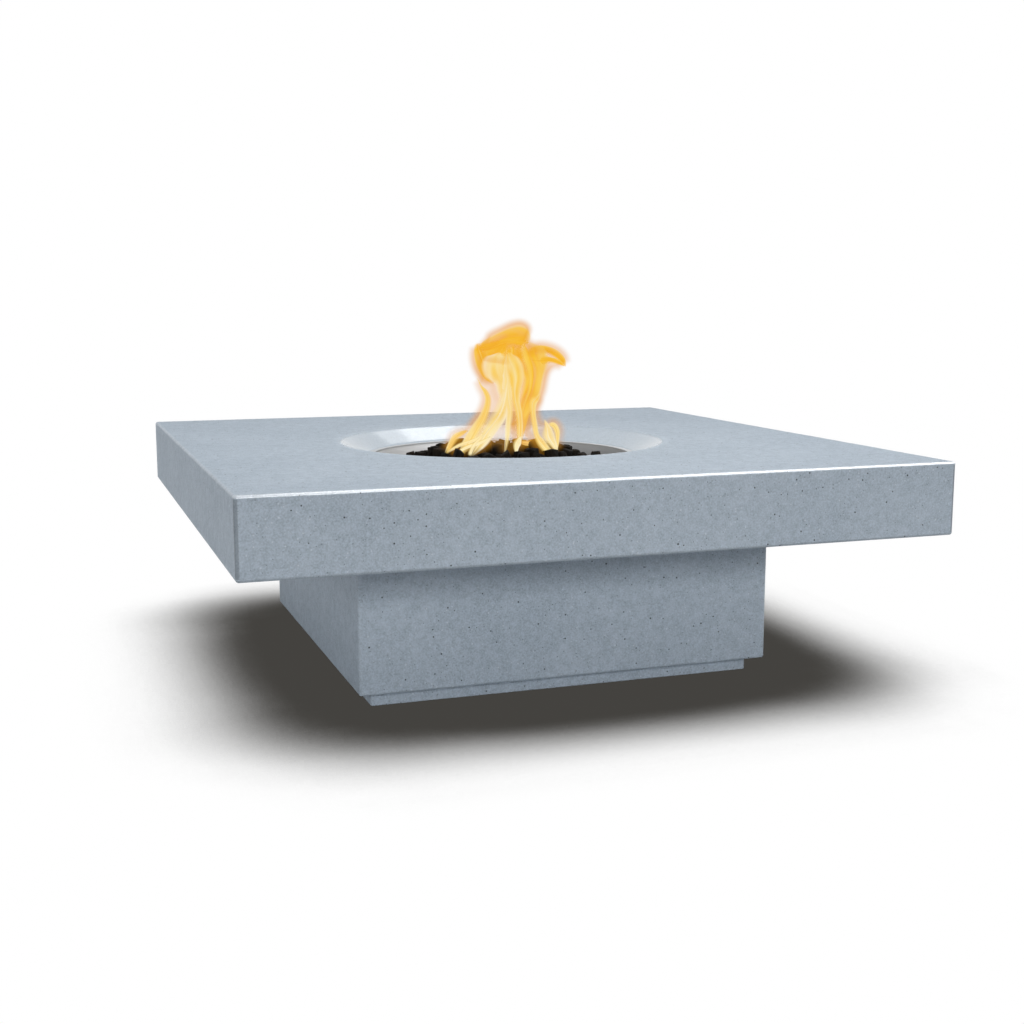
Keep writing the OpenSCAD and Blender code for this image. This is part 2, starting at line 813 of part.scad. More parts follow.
// Push-button igniter
module igniter_body() {
    color(black)
        to_rear(igniter_x, panel_face, control_z)
            difference() {
                union() {
                    translate([0, 0, -igniter_l]) cylinder(r = igniter_r, h = igniter_l + past);
                    translate([0, 0, -igniter_l - terminal_l]) cylinder(r = wire_r, h = terminal_l + past);
                    cylinder(r = igniter_flange_r, h = igniter_flange_t);
                }
                translate([0, 0, -button_inside - button_travel - button_stop])
                    cylinder(r = button_r + running_gap, h = igniter_l);
            }
}
module igniter_nut() {
    color(zinc)
        to_rear(igniter_x, rear_y - igniter_nut_h, control_z)
            hex_nut(igniter_nut_r, igniter_r + fit_gap, igniter_nut_h);
}
module igniter_button() {
    color(black)
        to_rear(igniter_x, panel_face - button_inside, control_z) {
            cylinder(r = button_r, h = button_inside + button_out - button_bevel);
            translate([0, 0, button_inside + button_out - button_bevel])
                cylinder(r1 = button_r, r2 = button_r - button_bevel, h = button_bevel);
        }
}
module ignition_wire() {
    flat = concat(
        [for (p = wire_leave) wire_start + p],
        [for (p = wire_arrive) wire_end + p]
    );
    color(black)
        tube([for (p = curve(flat, 2)) [igniter_x, p[0], p[1]]], [1, 0, 0], wire_r, 8);
}
module wire_clips() {
    clip_z = electrode_bottom + wire_arrive[6][1];
    color(zinc)
        for (y = clip_offsets)
            difference() {
                union() {
                    to_rear(electrode_x, electrode_y + y, clip_z)
                        cylinder(r = wire_r + clip_gap + clip_wall, h = clip_l);
                    translate([electrode_x - clip_wall / 2, electrode_y + y, clip_z])
                        cube([clip_wall, clip_l, pan_floor_z - sheet_t - clip_z]);
                }
                to_rear(electrode_x, electrode_y + y - past, clip_z)
                    cylinder(r = wire_r + clip_gap, h = clip_l + 2 * past);
            }
}
module electrode_insulator() {
    color(ceramic)
        translate([electrode_x, electrode_y, 0]) {
            translate([0, 0, electrode_bottom])
                cylinder(r = insulator_r, h = insulator_top - electrode_bottom);
            translate([0, 0, pan_floor_z - sheet_t - shoulder_h])
                cylinder(r = insulator_r + shoulder_out, h = shoulder_h);
        }
}
module electrode_nut() {
    color(zinc)
        translate([electrode_x, electrode_y, pan_floor_z])
            hex_nut(electrode_nut_r, insulator_r + fit_gap, electrode_nut_h);
}
module electrode_tip() {
    color(zinc)
        translate([electrode_x, electrode_y, insulator_top])
            cylinder(r = tip_r, h = electrode_top - insulator_top);
}

// Access door
module door_frame() {
    color(stainless)
        difference() {
            union() {
                translate([door_x, rear_y, mid_z]) rotate([-90, 0, 0])
                    linear_extrude(sheet_t)
                        polygon(rounded_rect(
                            door_w + 2 * frame_border, door_h + 2 * frame_border, plate_corner_r
                        ));
                translate([door_x, bay_half - frame_depth, mid_z]) rotate([-90, 0, 0])
                    slab(door_w - 2 * sleeve_gap, door_h - 2 * sleeve_gap, wall_t + frame_depth + past);
            }
            translate([door_x - frame_inner_w / 2, 0, mid_z - frame_inner_h / 2])
                cube([frame_inner_w, 2 * rear_y, frame_inner_h]);
            translate([hinge_x, hinge_y, mid_z - door_h / 2]) cylinder(r = pin_r + fit_gap, h = door_h);
            each_door_screw(rear_y - past) cylinder(r = screw_hole_r, h = sheet_t + 2 * past);
        }
}
module door_frame_screws() {
    color(zinc) each_door_screw(panel_face) pan_screw();
}
module door_panel() {
    ear_w = hinge_edge - hinge_x + ear_out;
    ear_d = panel_back + past - hinge_y + ear_out;
    color(stainless)
        difference() {
            union() {
                translate([(hinge_edge + free_edge) / 2, panel_back, mid_z])
                    louvre_plate(hinge_edge - free_edge, 2 * door_half_h, door_slot_w, door_rows);
                for (z = [mid_z - door_half_h, mid_z + door_half_h - ear_t])
                    translate([hinge_x - ear_out, hinge_y - ear_out, z]) cube([ear_w, ear_d, ear_t]);
            }
            translate([hinge_x, hinge_y, 0]) cylinder(r = pin_r + running_gap, h = table_h);
        }
}
module hinge_pins() {
    foot = frame_inner_h / 2 + sheet_t - hole_gap;
    color(zinc)
        for (turn = [0, 180])
            translate([hinge_x, hinge_y, mid_z]) rotate([turn, 0, 0]) {
                translate([0, 0, -foot])
                    cylinder(r = pin_r, h = foot - door_half_h + ear_t + pin_collar);
                translate([0, 0, -frame_inner_h / 2])
                    cylinder(r = pin_r + pin_collar, h = frame_inner_h / 2 - door_half_h - pin_gap);
            }
}
module door_pull() {
    front = panel_back + sheet_t;
    color(stainless)
        translate([free_edge + pull_inset, 0, mid_z]) {
            for (z = [-pull_post_z, pull_post_z])
                to_rear(0, front, z) cylinder(r = pull_post_r, h = pull_out);
            translate([0, front + pull_out, -pull_bar_l / 2]) cylinder(r = pull_bar_r, h = pull_bar_l);
        }
}
module catch_magnet() {
    color(black)
        translate([door_x - frame_inner_w / 2, panel_back - magnet_gap - magnet_d, mid_z - magnet_h / 2])
            cube([magnet_w, magnet_d, magnet_h]);
}

// Vent on the right
module vent_grille() {
    color(stainless)
        rotate(-90)
            difference() {
                translate([0, rear_y, mid_z])
                    louvre_plate(
                        vent_w + 2 * frame_border, vent_h + 2 * frame_border,
                        vent_w - vent_slot_inset, vent_rows
                    );
                each_corner(0, rear_y - past, mid_z, vent_w + frame_border, vent_h + frame_border)
                    cylinder(r = screw_hole_r, h = sheet_t + 2 * past);
            }
}
module vent_screws() {
    color(zinc) each_vent_screw(panel_face) pan_screw();
}

// Lava rock: a terraced bed of fine rock around the burner, and the rocks that lie on it
module lava_bed() {
    steps = [
        for (i = [0:len(terraces) - 1])
            let (below = i < len(terraces) - 1 ? terraces[i + 1][1] : pan_floor_z)
                each [terraces[i], [terraces[i][0], below]]
    ];
    groove_r = burner_tube_w / 2 + groove_gap;
    groove_h = burner_z + groove_r - pan_floor_z;
    color(lava)
        difference() {
            rotate_extrude() polygon(concat([[0, pan_floor_z], [0, terraces[0][1]]], steps));
            translate([0, 0, pan_floor_z - past]) {
                for (r = [burner_inner_r, burner_r])
                    difference() {
                        cylinder(r = r + groove_r, h = groove_h + past);
                        cylinder(r = r - groove_r, h = groove_h + past);
                    }
                cylinder(r = hub_r + groove_gap, h = hub_h + groove_gap + past);
                for (a = spoke_angles)
                    rotate(a) slab(2 * burner_r, spoke_w + 2 * groove_gap, groove_h);
                translate([electrode_x, electrode_y, 0])
                    cylinder(r = pocket_r, h = electrode_top - pan_floor_z + pocket_gap);
            }
        }
}
// A convex rock: one outline of six points on an oval, repeated at three heights and sheared
module rock(r, h, seed) {
    turns = rands(-16, 16, 6, seed);
    oval = rands(0.78, 1, 2, seed + 1);
    lean = rands(-0.06, 0.06, 2, seed + 2);
    points = [
        for (k = rock_levels)
            for (i = [0:5])
                let (a = 60 * i + turns[i])
                    [
                        r * (k[1] * oval[0] * cos(a) + k[0] * lean[0]),
                        r * (k[1] * oval[1] * sin(a) + k[0] * lean[1]),
                        h * k[0]
                    ]
    ];
    polyhedron(points, stack_faces(len(rock_levels), 6));
}
module lava_rocks() {
    color(lava)
        for (ring = [0:rock_rings]) {
            count = ring == 0 ? 1 : floor(180 / asin(1 / (2 * ring)));
            terrace = max(ring - rock_rings + len(terraces) - 1, 0);
            level = terraces[terrace][1] + rest_gap;
            rise = terrace > 0 ? 0 : ring > peak_rings ? mound_rise : peak_rise;
            for (i = [0:count - 1]) {
                seed = rock_seed * 1000 + ring * 100 + i;
                spin = rands(0, 360, 1, seed + 50)[0];
                height = rands(rock_heights[0], rock_heights[1], 1, seed + 60)[0];
                rotate(360 * i / count + ring_turn * ring)
                    translate([ring * rock_pitch, 0, level])
                        rotate(spin) rock(rock_r, height + rise, seed);
            }
        }
}

table_top();
deck_inserts();
pedestal();
wall_inserts();
plinth();
plinth_inserts();
plinth_bolts();
plinth_washers();
support_cleats();
cleat_deck_bolts();
cleat_wall_bolts();
bearing_pads();
burner_pan();
pan_gasket();
burner_ring();
burner_locknut();
gas_elbow();
elbow_nut();
gas_hose();
outlet_nut();
valve_body();
valve_stem();
valve_sleeve();
sleeve_locknut();
valve_escutcheon();
valve_key();
control_panel();
panel_screws();
igniter_body();
igniter_nut();
igniter_button();
ignition_wire();
wire_clips();
electrode_insulator();
electrode_nut();
electrode_tip();
door_frame();
door_frame_screws();
door_panel();
hinge_pins();
door_pull();
catch_magnet();
vent_grille();
vent_screws();
lava_bed();
lava_rocks();
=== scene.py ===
import itertools
import math
import random

import bmesh
import bpy
from mathutils import Matrix, Vector, noise


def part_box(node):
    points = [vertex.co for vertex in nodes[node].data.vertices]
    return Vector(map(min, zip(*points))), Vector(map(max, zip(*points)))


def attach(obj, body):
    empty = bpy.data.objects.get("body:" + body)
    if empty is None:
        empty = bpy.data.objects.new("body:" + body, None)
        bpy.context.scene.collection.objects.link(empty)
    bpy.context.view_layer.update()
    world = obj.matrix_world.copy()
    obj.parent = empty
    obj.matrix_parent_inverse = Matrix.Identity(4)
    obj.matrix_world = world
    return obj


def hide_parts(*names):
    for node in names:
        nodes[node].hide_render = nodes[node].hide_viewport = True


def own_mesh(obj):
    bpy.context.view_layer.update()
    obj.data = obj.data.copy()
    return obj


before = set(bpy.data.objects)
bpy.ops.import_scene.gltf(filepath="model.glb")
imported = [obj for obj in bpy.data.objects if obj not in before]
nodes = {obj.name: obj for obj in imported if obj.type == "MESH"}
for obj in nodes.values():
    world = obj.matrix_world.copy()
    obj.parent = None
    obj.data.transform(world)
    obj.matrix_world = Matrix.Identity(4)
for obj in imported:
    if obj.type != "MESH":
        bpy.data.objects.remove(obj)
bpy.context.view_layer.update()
scene = bpy.context.scene
scene.view_settings.view_transform = "Standard"

# Camera: place, turn from +Y towards +X, tilt below the horizon, and lens
CAMERA_PLACE = (-0.87464, -2.54708, 0.68595)
CAMERA_YAW = math.radians(19.397)
CAMERA_PITCH = math.radians(8.976)
CAMERA_LENS = 48.25

camera = bpy.data.objects.new("camera", bpy.data.cameras.new("camera"))
camera.location = CAMERA_PLACE
camera.rotation_euler = (math.pi / 2 - CAMERA_PITCH, 0, -CAMERA_YAW)
camera.data.lens = CAMERA_LENS
scene.collection.objects.link(camera)
scene.camera = camera

# Levels and sizes of the castings, from model.glb's parts and the part's own dimensions
TOP_LOW, TOP_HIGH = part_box("table_top")
PEDESTAL_LOW, PEDESTAL_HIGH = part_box("pedestal")
PLINTH_LOW, PLINTH_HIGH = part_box("plinth")
TABLE_H = TOP_HIGH.z
SKIRT_Z = TOP_LOW.z
TOP_HALF = TOP_HIGH.x
PEDESTAL_HALF = PEDESTAL_HIGH.x
PLINTH_HALF = PLINTH_HIGH.x
MM = 0.001
WALL = 0.01905
DECK = 0.0254
FLANGE = 0.0254
FOOT_WIDTH = 0.0508
DECK_Z = TABLE_H - DECK
FLANGE_TOP = PEDESTAL_LOW.z + FLANGE
GROUND_HALF = PLINTH_HALF - FOOT_WIDTH

# Radius of the outer edges, the gap to the next ring, and the start of the plain face
EDGE_R = 0.005
SUPPORT = 0.001
EDGE_ZONE = EDGE_R + 6 * SUPPORT

# The fire bowl: rim, slope, the ledge for the pan, and the collar under the deck
BOWL_DEPTH = 0.0286
LEDGE_DEPTH = 0.003
COLLAR_DEPTH = 0.0294
RIM_R = 0.3175
RIM_ROUND = 0.020
SLOPE_R = 0.2667
SLOPE_Z = TABLE_H - BOWL_DEPTH
LEDGE_Z = SLOPE_Z - LEDGE_DEPTH
PAN_HOLE_R = 0.2575
COLLAR_R = 0.345
COLLAR_Z = SLOPE_Z - COLLAR_DEPTH


class Nodes:
    """A node tree under construction, with short forms for the nodes used here."""

    def __init__(self, owner):
        owner.use_nodes = True
        self.tree = owner.node_tree

    def put(self, socket, value):
        if isinstance(value, bpy.types.NodeSocket):
            self.tree.links.new(value, socket)
        else:
            socket.default_value = value

    def add(self, kind, inputs=None, **settings):
        node = self.tree.nodes.new(kind)
        for key, value in settings.items():
            setattr(node, key, value)
        for key, value in (inputs or {}).items():
            self.put(node.inputs[key], value)
        return node

    def math(self, operation, a, b=0.0):
        return self.add("ShaderNodeMath", {0: a, 1: b}, operation=operation).outputs[0]

    def less(self, value, mask, share):
        """A value lowered by a share of a mask."""
        return self.math("SUBTRACT", value, self.math("MULTIPLY", mask, share))

    def spread(self, value, low, high, to_low=0.0, to_high=1.0):
        """A value moved from one range to another, and kept within it."""
        inputs = dict(enumerate((value, low, high, to_low, to_high)))
        return self.add("ShaderNodeMapRange", inputs, clamp=True).outputs[0]

    def seen(self):
        """1 for what the view sees, also in mirrors and through the flame, and 0 for light cast."""
        path = self.add("ShaderNodeLightPath").outputs
        seen = self.math("MAXIMUM", path["Is Camera Ray"], path["Is Glossy Ray"])
        return self.math("MAXIMUM", seen, path["Is Transmission Ray"])


class Shader(Nodes):
    """A material under construction. The fixed values go on the surface's own sockets."""

    def __init__(self, name, **fixed):
        self.material = bpy.data.materials.new(name)
        super().__init__(self.material)
        self.surface = self.tree.nodes["Principled BSDF"]
        self.output = self.tree.nodes["Material Output"]
        self.place = self.add("ShaderNodeTexCoord").outputs["Object"]
        self.set(**fixed)

    def height(self):
        """Height above the floor."""
        return self.add("ShaderNodeSeparateXYZ", {"Vector": self.place}).outputs["Z"]

    def noise(self, scale, detail=2.0, roughness=0.5, stretch=None, distortion=0.0):
        place = self.place
        if stretch:
            place = self.add("ShaderNodeMapping", {"Vector": place, "Scale": stretch}).outputs[0]
        inputs = {"Vector": place, "Scale": scale, "Detail": detail}
        inputs.update({"Roughness": roughness, "Distortion": distortion})
        return self.add("ShaderNodeTexNoise", inputs).outputs["Fac"]

    def dots(self, scale, smallest, largest, share):
        """A mask of round spots: sizes in metres, and the share of the cells that hold one."""
        cell = self.add("ShaderNodeTexVoronoi", {"Vector": self.place, "Scale": scale})
        parts = self.add("ShaderNodeSeparateColor", {"Color": cell.outputs["Color"]}).outputs
        radius = self.spread(parts[0], 1 - share, 1.0, smallest * scale, largest * scale)
        radius = self.math("MULTIPLY", radius, self.math("GREATER_THAN", parts[0], 1 - share))
        ratio = self.math("DIVIDE", cell.outputs["Distance"], self.math("MAXIMUM", radius, 1e-4))
        return self.spread(ratio, 0.75, 1.15, 1.0, 0.0)

    def mix(self, factor, a, b):
        """A blend of two colours, which are inputs 6 and 7 and output 2 of the node."""
        return self.add("ShaderNodeMix", {0: factor, 6: a, 7: b}, data_type="RGBA").outputs[2]

    def stain(self, colour, mask, share, tint):
        """A colour that takes on a share of another one where the mask is 1."""
        return self.mix(self.math("MULTIPLY", mask, share), colour, tint)

    def bump(self, height, distance, strength=1.0, normal=None):
        inputs = {"Height": height, "Distance": distance, "Strength": strength}
        if normal:
            inputs["Normal"] = normal
        return self.add("ShaderNodeBump", inputs).outputs[0]

    def attribute(self, name):
        return self.add("ShaderNodeAttribute", attribute_name=name).outputs["Fac"]

    def show(self, shader, socket="Surface"):
        """The material with another shader in place of the usual surface."""
        self.tree.nodes.remove(self.surface)
        self.put(self.output.inputs[socket], shader)
        return self.material

    def set(self, **values):
        for key, value in values.items():
            self.put(self.surface.inputs[key.replace("_", " ")], value)
        return self.material


def rgb(red, green, blue):
    return (red, green, blue, 1.0)


# Materials
def make_concrete():
    """Bluish grey concrete. Edge is above 0 on rubbed edges, which are worn and painted lighter as a
    painted highlight, and below 0 on edges darkened with painted shade.
    """
    s = Shader("concrete", IOR=1.5)
    cloud = s.spread(s.noise(4.5, 3.0), 0.3, 0.7)
    ripple = s.noise(48.0, 2.0, 0.5)
    mottle = s.spread(s.noise(75.0, 3.0, 0.6), 0.34, 0.66)
    grain = s.spread(s.noise(330.0, 2.0, 0.6), 0.30, 0.70)
    fine_pits_and_shade = s.dots(130.0, 0.0006, 0.0012, 0.6)
    specks = s.dots(110.0, 0.0008, 0.0016, 0.5)
    holes_and_shade = s.dots(80.0, 0.0007, 0.0017, 0.6)
    edge = s.attribute("edge")
    wear_and_highlight = s.math("MAXIMUM", edge, 0.0)
    painted_edge_shade = s.math("MAXIMUM", s.math("MULTIPLY", edge, -1.0), 0.0)
    polish_and_sheen = s.attribute("polish_and_sheen")
    colour = s.mix(cloud, rgb(0.356, 0.418, 0.485), rgb(0.425, 0.489, 0.559))
    colour = s.stain(colour, mottle, 0.50, rgb(0.225, 0.272, 0.322))
    colour = s.stain(colour, grain, 0.62, rgb(0.565, 0.655, 0.750))
    colour = s.stain(colour, specks, 0.50, rgb(0.70, 0.75, 0.80))
    # Fine pits are darkened: painted shade inside them.
    colour = s.stain(colour, fine_pits_and_shade, 0.70, rgb(0.14, 0.16, 0.18))
    # The polished slope and rim are painted lighter and bluer: a painted sheen besides their real
    # gloss.
    colour = s.stain(colour, polish_and_sheen, 0.55, rgb(0.50, 0.60, 0.70))
    # Rubbed edges are painted lighter: partly wear, partly a painted highlight, strongest along the
    # top's front edge.
    colour = s.stain(colour, wear_and_highlight, 0.30, rgb(0.66, 0.72, 0.78))
    # Edges below 0 are darkened: painted shade on the top's upright corners and along the skirt's lower
    # edge.
    colour = s.stain(colour, painted_edge_shade, 0.60, rgb(0.13, 0.145, 0.16))
    # Pinholes are darkened almost to black: painted shade inside them, left out where polished.
    holes_and_shade = s.math("MULTIPLY", holes_and_shade, s.math("SUBTRACT", 1.0, polish_and_sheen))
    colour = s.stain(colour, holes_and_shade, 0.90, rgb(0.03, 0.033, 0.036))
    rough = s.spread(s.math("ADD", grain, mottle), 0.4, 1.6, 0.58, 0.70)
    rough = s.less(s.less(rough, wear_and_highlight, 0.40), polish_and_sheen, 0.52)
    pits = s.math("ADD", holes_and_shade, s.math("MULTIPLY", fine_pits_and_shade, 0.4))
    height = s.math("SUBTRACT", s.math("MULTIPLY", grain, 0.25), pits)
    flat = s.less(1.0, polish_and_sheen, 0.85)
    return s.set(
        Base_Color=colour, Roughness=s.math("MAXIMUM", rough, 0.08),
        Specular_IOR_Level=s.spread(s.math("MAXIMUM", wear_and_highlight, polish_and_sheen), 0.0, 1.0, 0.25, 0.85),
        Coat_Weight=wear_and_highlight, Coat_IOR=2.0, Coat_Roughness=0.22,
        Normal=s.bump(s.math("MULTIPLY", height, flat), 0.0006, 0.6,
                      s.bump(s.math("MULTIPLY", ripple, flat), 0.004, 0.5)),
    )


def make_steel(name, brush, rough_from=0.26):
    """Brushed stainless steel. The brush marks run along the axis with the smallest number."""
    s = Shader(name, Metallic=1.0)
    marks = s.noise(1.0, 3.0, 0.6, stretch=brush)
    blotch = s.noise(14.0, 3.0)
    colour = s.mix(s.spread(marks, 0.3, 0.7), rgb(0.48, 0.48, 0.472), rgb(0.60, 0.60, 0.59))
    colour = s.mix(s.spread(blotch, 0.55, 0.8, 0.0, 0.22), colour, rgb(0.46, 0.45, 0.44))
    brushed = s.spread(marks, 0.25, 0.75, rough_from, rough_from + 0.14)
    rough = s.math("ADD", brushed, s.spread(blotch, 0.5, 0.8, 0.0, 0.08))
    return s.set(Base_Color=colour, Roughness=rough, Normal=s.bump(marks, 0.00015, 0.35))


def make_pan_steel():
    """Spun, bead-blasted steel with a faint heat tint. Dust lies on the flange."""
    s = Shader("pan_steel")
    marks = s.noise(1.0, 3.0, 0.6, stretch=(18.0, 18.0, 900.0))
    heat = s.spread(s.noise(9.0, 3.0), 0.45, 0.80)
    colour = s.mix(s.spread(marks, 0.3, 0.7), rgb(0.62, 0.62, 0.62), rgb(0.72, 0.72, 0.72))
    colour = s.stain(colour, heat, 0.10, rgb(0.62, 0.57, 0.50))
    dust = s.spread(s.height(), SLOPE_Z - 0.004, SLOPE_Z - 0.002)
    colour = s.stain(colour, dust, 0.80, rgb(0.44, 0.47, 0.50))
    return s.set(
        Base_Color=colour, Metallic=s.spread(dust, 0.0, 1.0, 1.0, 0.1),
        Roughness=s.spread(marks, 0.25, 0.75, 0.50, 0.64), Normal=s.bump(marks, 0.0001, 0.3))


def make_finish(name, pattern, tone, colours, rough, bump=None, relief=None, stain=None, **fixed):
    """A finish with one pattern for tone, roughness and bump, unless the relief has its own.

    A stain holds its own pattern, the spread of it and a colour.
    """
    s = Shader(name, **fixed)
    mask = s.noise(*pattern)
    colour = s.mix(s.spread(mask, *tone), *[rgb(*c) for c in colours])
    if stain:
        spots, share, tint = stain
        colour = s.mix(s.spread(s.noise(*spots), *share), colour, rgb(*tint))
    if bump:
        s.set(Normal=s.bump(s.noise(*relief) if relief else mask, *bump))
    return s.set(Base_Color=colour, Roughness=s.spread(mask, *rough))


def make_fibre():
    """Woven heat-proof gasket."""
    s = Shader("fibre", IOR=1.45)
    wave = {"Vector": s.place, "Scale": 260.0, "Distortion": 3.0}
    threads = s.add("ShaderNodeTexWave", wave).outputs["Fac"]
    fuzz = s.noise(500.0, 3.0)
    colour = s.mix(threads, rgb(0.55, 0.52, 0.46), rgb(0.80, 0.77, 0.70))
    colour = s.mix(s.spread(fuzz, 0.4, 0.8, 0.0, 0.5), colour, rgb(0.40, 0.37, 0.32))
    return s.set(Base_Color=colour, Roughness=s.spread(fuzz, 0.3, 0.7, 0.8, 0.95),
                 Normal=s.bump(threads, 0.0003, 0.6))


def make_lava():
    """Black-brown volcanic rock: pores, darkened with painted shade, a grey dusting and rusty patches.
    """
    s = Shader("lava", IOR=1.5)
    patch = s.noise(38.0, 4.0, 0.6)
    dust = s.noise(230.0, 4.0, 0.7)
    cell = s.add("ShaderNodeTexVoronoi", {"Vector": s.place, "Scale": 330.0}).outputs["Distance"]
    pores_and_shade = s.spread(cell, 0.10, 0.42, 1.0, 0.0)
    colour = s.mix(s.spread(patch, 0.40, 0.72), rgb(0.004, 0.0036, 0.003), rgb(0.015, 0.010, 0.006))
    colour = s.mix(s.spread(dust, 0.52, 0.85, 0.0, 0.40), colour, rgb(0.024, 0.019, 0.014))
    # Pores are darkened: painted shade inside them.
    colour = s.stain(colour, pores_and_shade, 0.75, rgb(0.002, 0.002, 0.002))
    height = s.math("SUBTRACT", s.math("MULTIPLY", dust, 0.8), pores_and_shade)
    return s.set(Base_Color=colour, Roughness=s.spread(dust, 0.3, 0.7, 0.74, 0.94),
                 Specular_IOR_Level=0.08, Normal=s.bump(height, 0.0012, 0.8))


concrete = make_concrete()
panel_steel = make_steel("panel_steel", (6.0, 700.0, 700.0))
grille_steel = make_steel("grille_steel", (700.0, 6.0, 700.0))
tube_steel = make_steel("tube_steel", (160.0, 160.0, 160.0), rough_from=0.30)
bar_steel = make_steel("bar_steel", (700.0, 700.0, 8.0), rough_from=0.20)
pan_steel = make_pan_steel()
zinc = make_finish(
    "zinc", (240.0, 3.0, 0.65), (0.3, 0.7),
    ((0.44, 0.45, 0.47), (0.60, 0.61, 0.62)), (0.25, 0.75, 0.30, 0.48), (0.0001, 0.3),
    stain=((35.0, 2.0), (0.5, 0.8, 0.0, 0.35), (0.55, 0.51, 0.42)), Metallic=1.0)
brass = make_finish(
    "brass", (60.0, 4.0, 0.6), (0.42, 0.72),
    ((0.74, 0.54, 0.24), (0.40, 0.27, 0.11)), (0.3, 0.75, 0.20, 0.46), (0.00006, 0.3),
    (900.0, 2.0), Metallic=1.0)
chrome = make_finish(
    "chrome", (45.0, 4.0, 0.6), (0.4, 0.75),
    ((0.80, 0.81, 0.82), (0.68, 0.69, 0.70)), (0.35, 0.75, 0.05, 0.18), (0.00002, 0.25),
    (700.0, 1.0, 0.5, (1.0, 1.0, 0.15)), Metallic=1.0)
plastic = make_finish(
    "black_plastic", (40.0, 4.0, 0.6), (0.5, 0.8, 0.0, 0.5),
    ((0.016, 0.016, 0.018), (0.05, 0.05, 0.052)), (0.3, 0.75, 0.34, 0.52), (0.0001, 0.4),
    (1500.0, 2.0, 0.6), IOR=1.5)
wire_sleeve = make_finish(
    "wire_sleeve", (120.0, 3.0), (0.35, 0.75),
    ((0.36, 0.035, 0.02), (0.24, 0.05, 0.035)), (0.3, 0.7, 0.38, 0.55), (0.0001, 0.3), IOR=1.45)
rubber = make_finish(
    "rubber", (70.0, 4.0, 0.65), (0.4, 0.8),
    ((0.022, 0.022, 0.023), (0.075, 0.073, 0.07)), (0.3, 0.7, 0.7, 0.9), (0.0002, 0.5),
    (1100.0, 2.0), IOR=1.5)
fibre = make_fibre()
porcelain = make_finish(
    "porcelain", (130.0, 3.0), (0.3, 0.7),
    ((0.84, 0.82, 0.76), (0.90, 0.885, 0.84)), (0.3, 0.7, 0.10, 0.22),
    stain=((60.0, 3.0), (0.5, 0.8, 0.0, 0.5), (0.30, 0.26, 0.22)), IOR=1.55)
magnet = make_finish(
    "magnet", (900.0, 3.0), (0.3, 0.7),
    ((0.028, 0.028, 0.031), (0.062, 0.062, 0.066)), (0.3, 0.7, 0.42, 0.62), (0.0001, 0.4), IOR=1.6)
lava = make_lava()


# Meshes
def put_in_scene(name, data, material):
    piece = bpy.data.objects.new(name, data)
    scene.collection.objects.link(piece)
    data.materials.clear()
    data.materials.append(material)
    return piece


def stand_in(piece, node):
    """Puts a drawn piece in the place of a node."""
    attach(piece, "table")
    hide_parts(node)


def smooth(mesh, angle=40.0):
    mesh.shade_smooth()
    mesh.set_sharp_from_angle(angle=math.radians(angle))


def closed_mesh(name, points, faces):
    """A mesh whose faces all point outwards."""
    mesh = bpy.data.meshes.new(name)
    mesh.from_pydata(points, [], faces)
    work = bmesh.new()
    work.from_mesh(mesh)
    bmesh.ops.recalc_face_normals(work, faces=work.faces)
    work.to_mesh(mesh)
    work.free()
    return mesh


def ring_faces(rings, count):
    """Faces between rings of points, where the last ring joins the first."""
    faces = []
    for i in range(rings):
        a, b = i * count, (i + 1) % rings * count
        for j in range(count):
            k = (j + 1) % count
            faces.append((a + j, b + j, b + k, a + k))
    return faces


def tube_faces(rings, sides, first=0):
    """Faces of a closed tube: its side and a cap at each end."""
    last = (rings - 1) * sides
    faces = ring_faces(rings, sides)[:last]
    faces += [tuple(reversed(range(sides))), tuple(range(last, last + sides))]
    return [tuple(first + i for i in face) for face in faces]


def write_attribute(mesh, name, values):
    mesh.attributes.new(name, "FLOAT", "POINT").data.foreach_set("value", values)


# Castings: each is a stack of rings around a hole, and every ring has the same number of points
SIDE_STEPS = 40
ARC_STEPS = 6
QUARTER = SIDE_STEPS + ARC_STEPS + 4
RING_SIZE = 4 * QUARTER
CORNER_ARC = range(SIDE_STEPS + 2, SIDE_STEPS + 3 + ARC_STEPS)


def arc_angles():
    return [math.pi / 2 * i / ARC_STEPS for i in range(ARC_STEPS + 1)]


def square_outline(half, radius):
    """Points of a square with rounded corners, anticlockwise from the +X side."""
    radius = max(radius, 0.0003)
    straight = half - radius
    gap = min(SUPPORT, radius / 3)
    reach = math.atan2(straight - 4 * gap, half)
    angles = [reach * (2 * i / SIDE_STEPS - 1) for i in range(SIDE_STEPS + 1)]
    side = [(half, half * math.tan(a)) for a in angles]
    side.append((half, straight - gap))
    for a in arc_angles():
        side.append((straight + radius * math.cos(a), straight + radius * math.sin(a)))
    side.append((straight - gap, half))
    turns = [Matrix.Rotation(quarter * math.pi / 2, 2) for quarter in range(4)]
    return [turn @ Vector(p) for turn in turns for p in side]


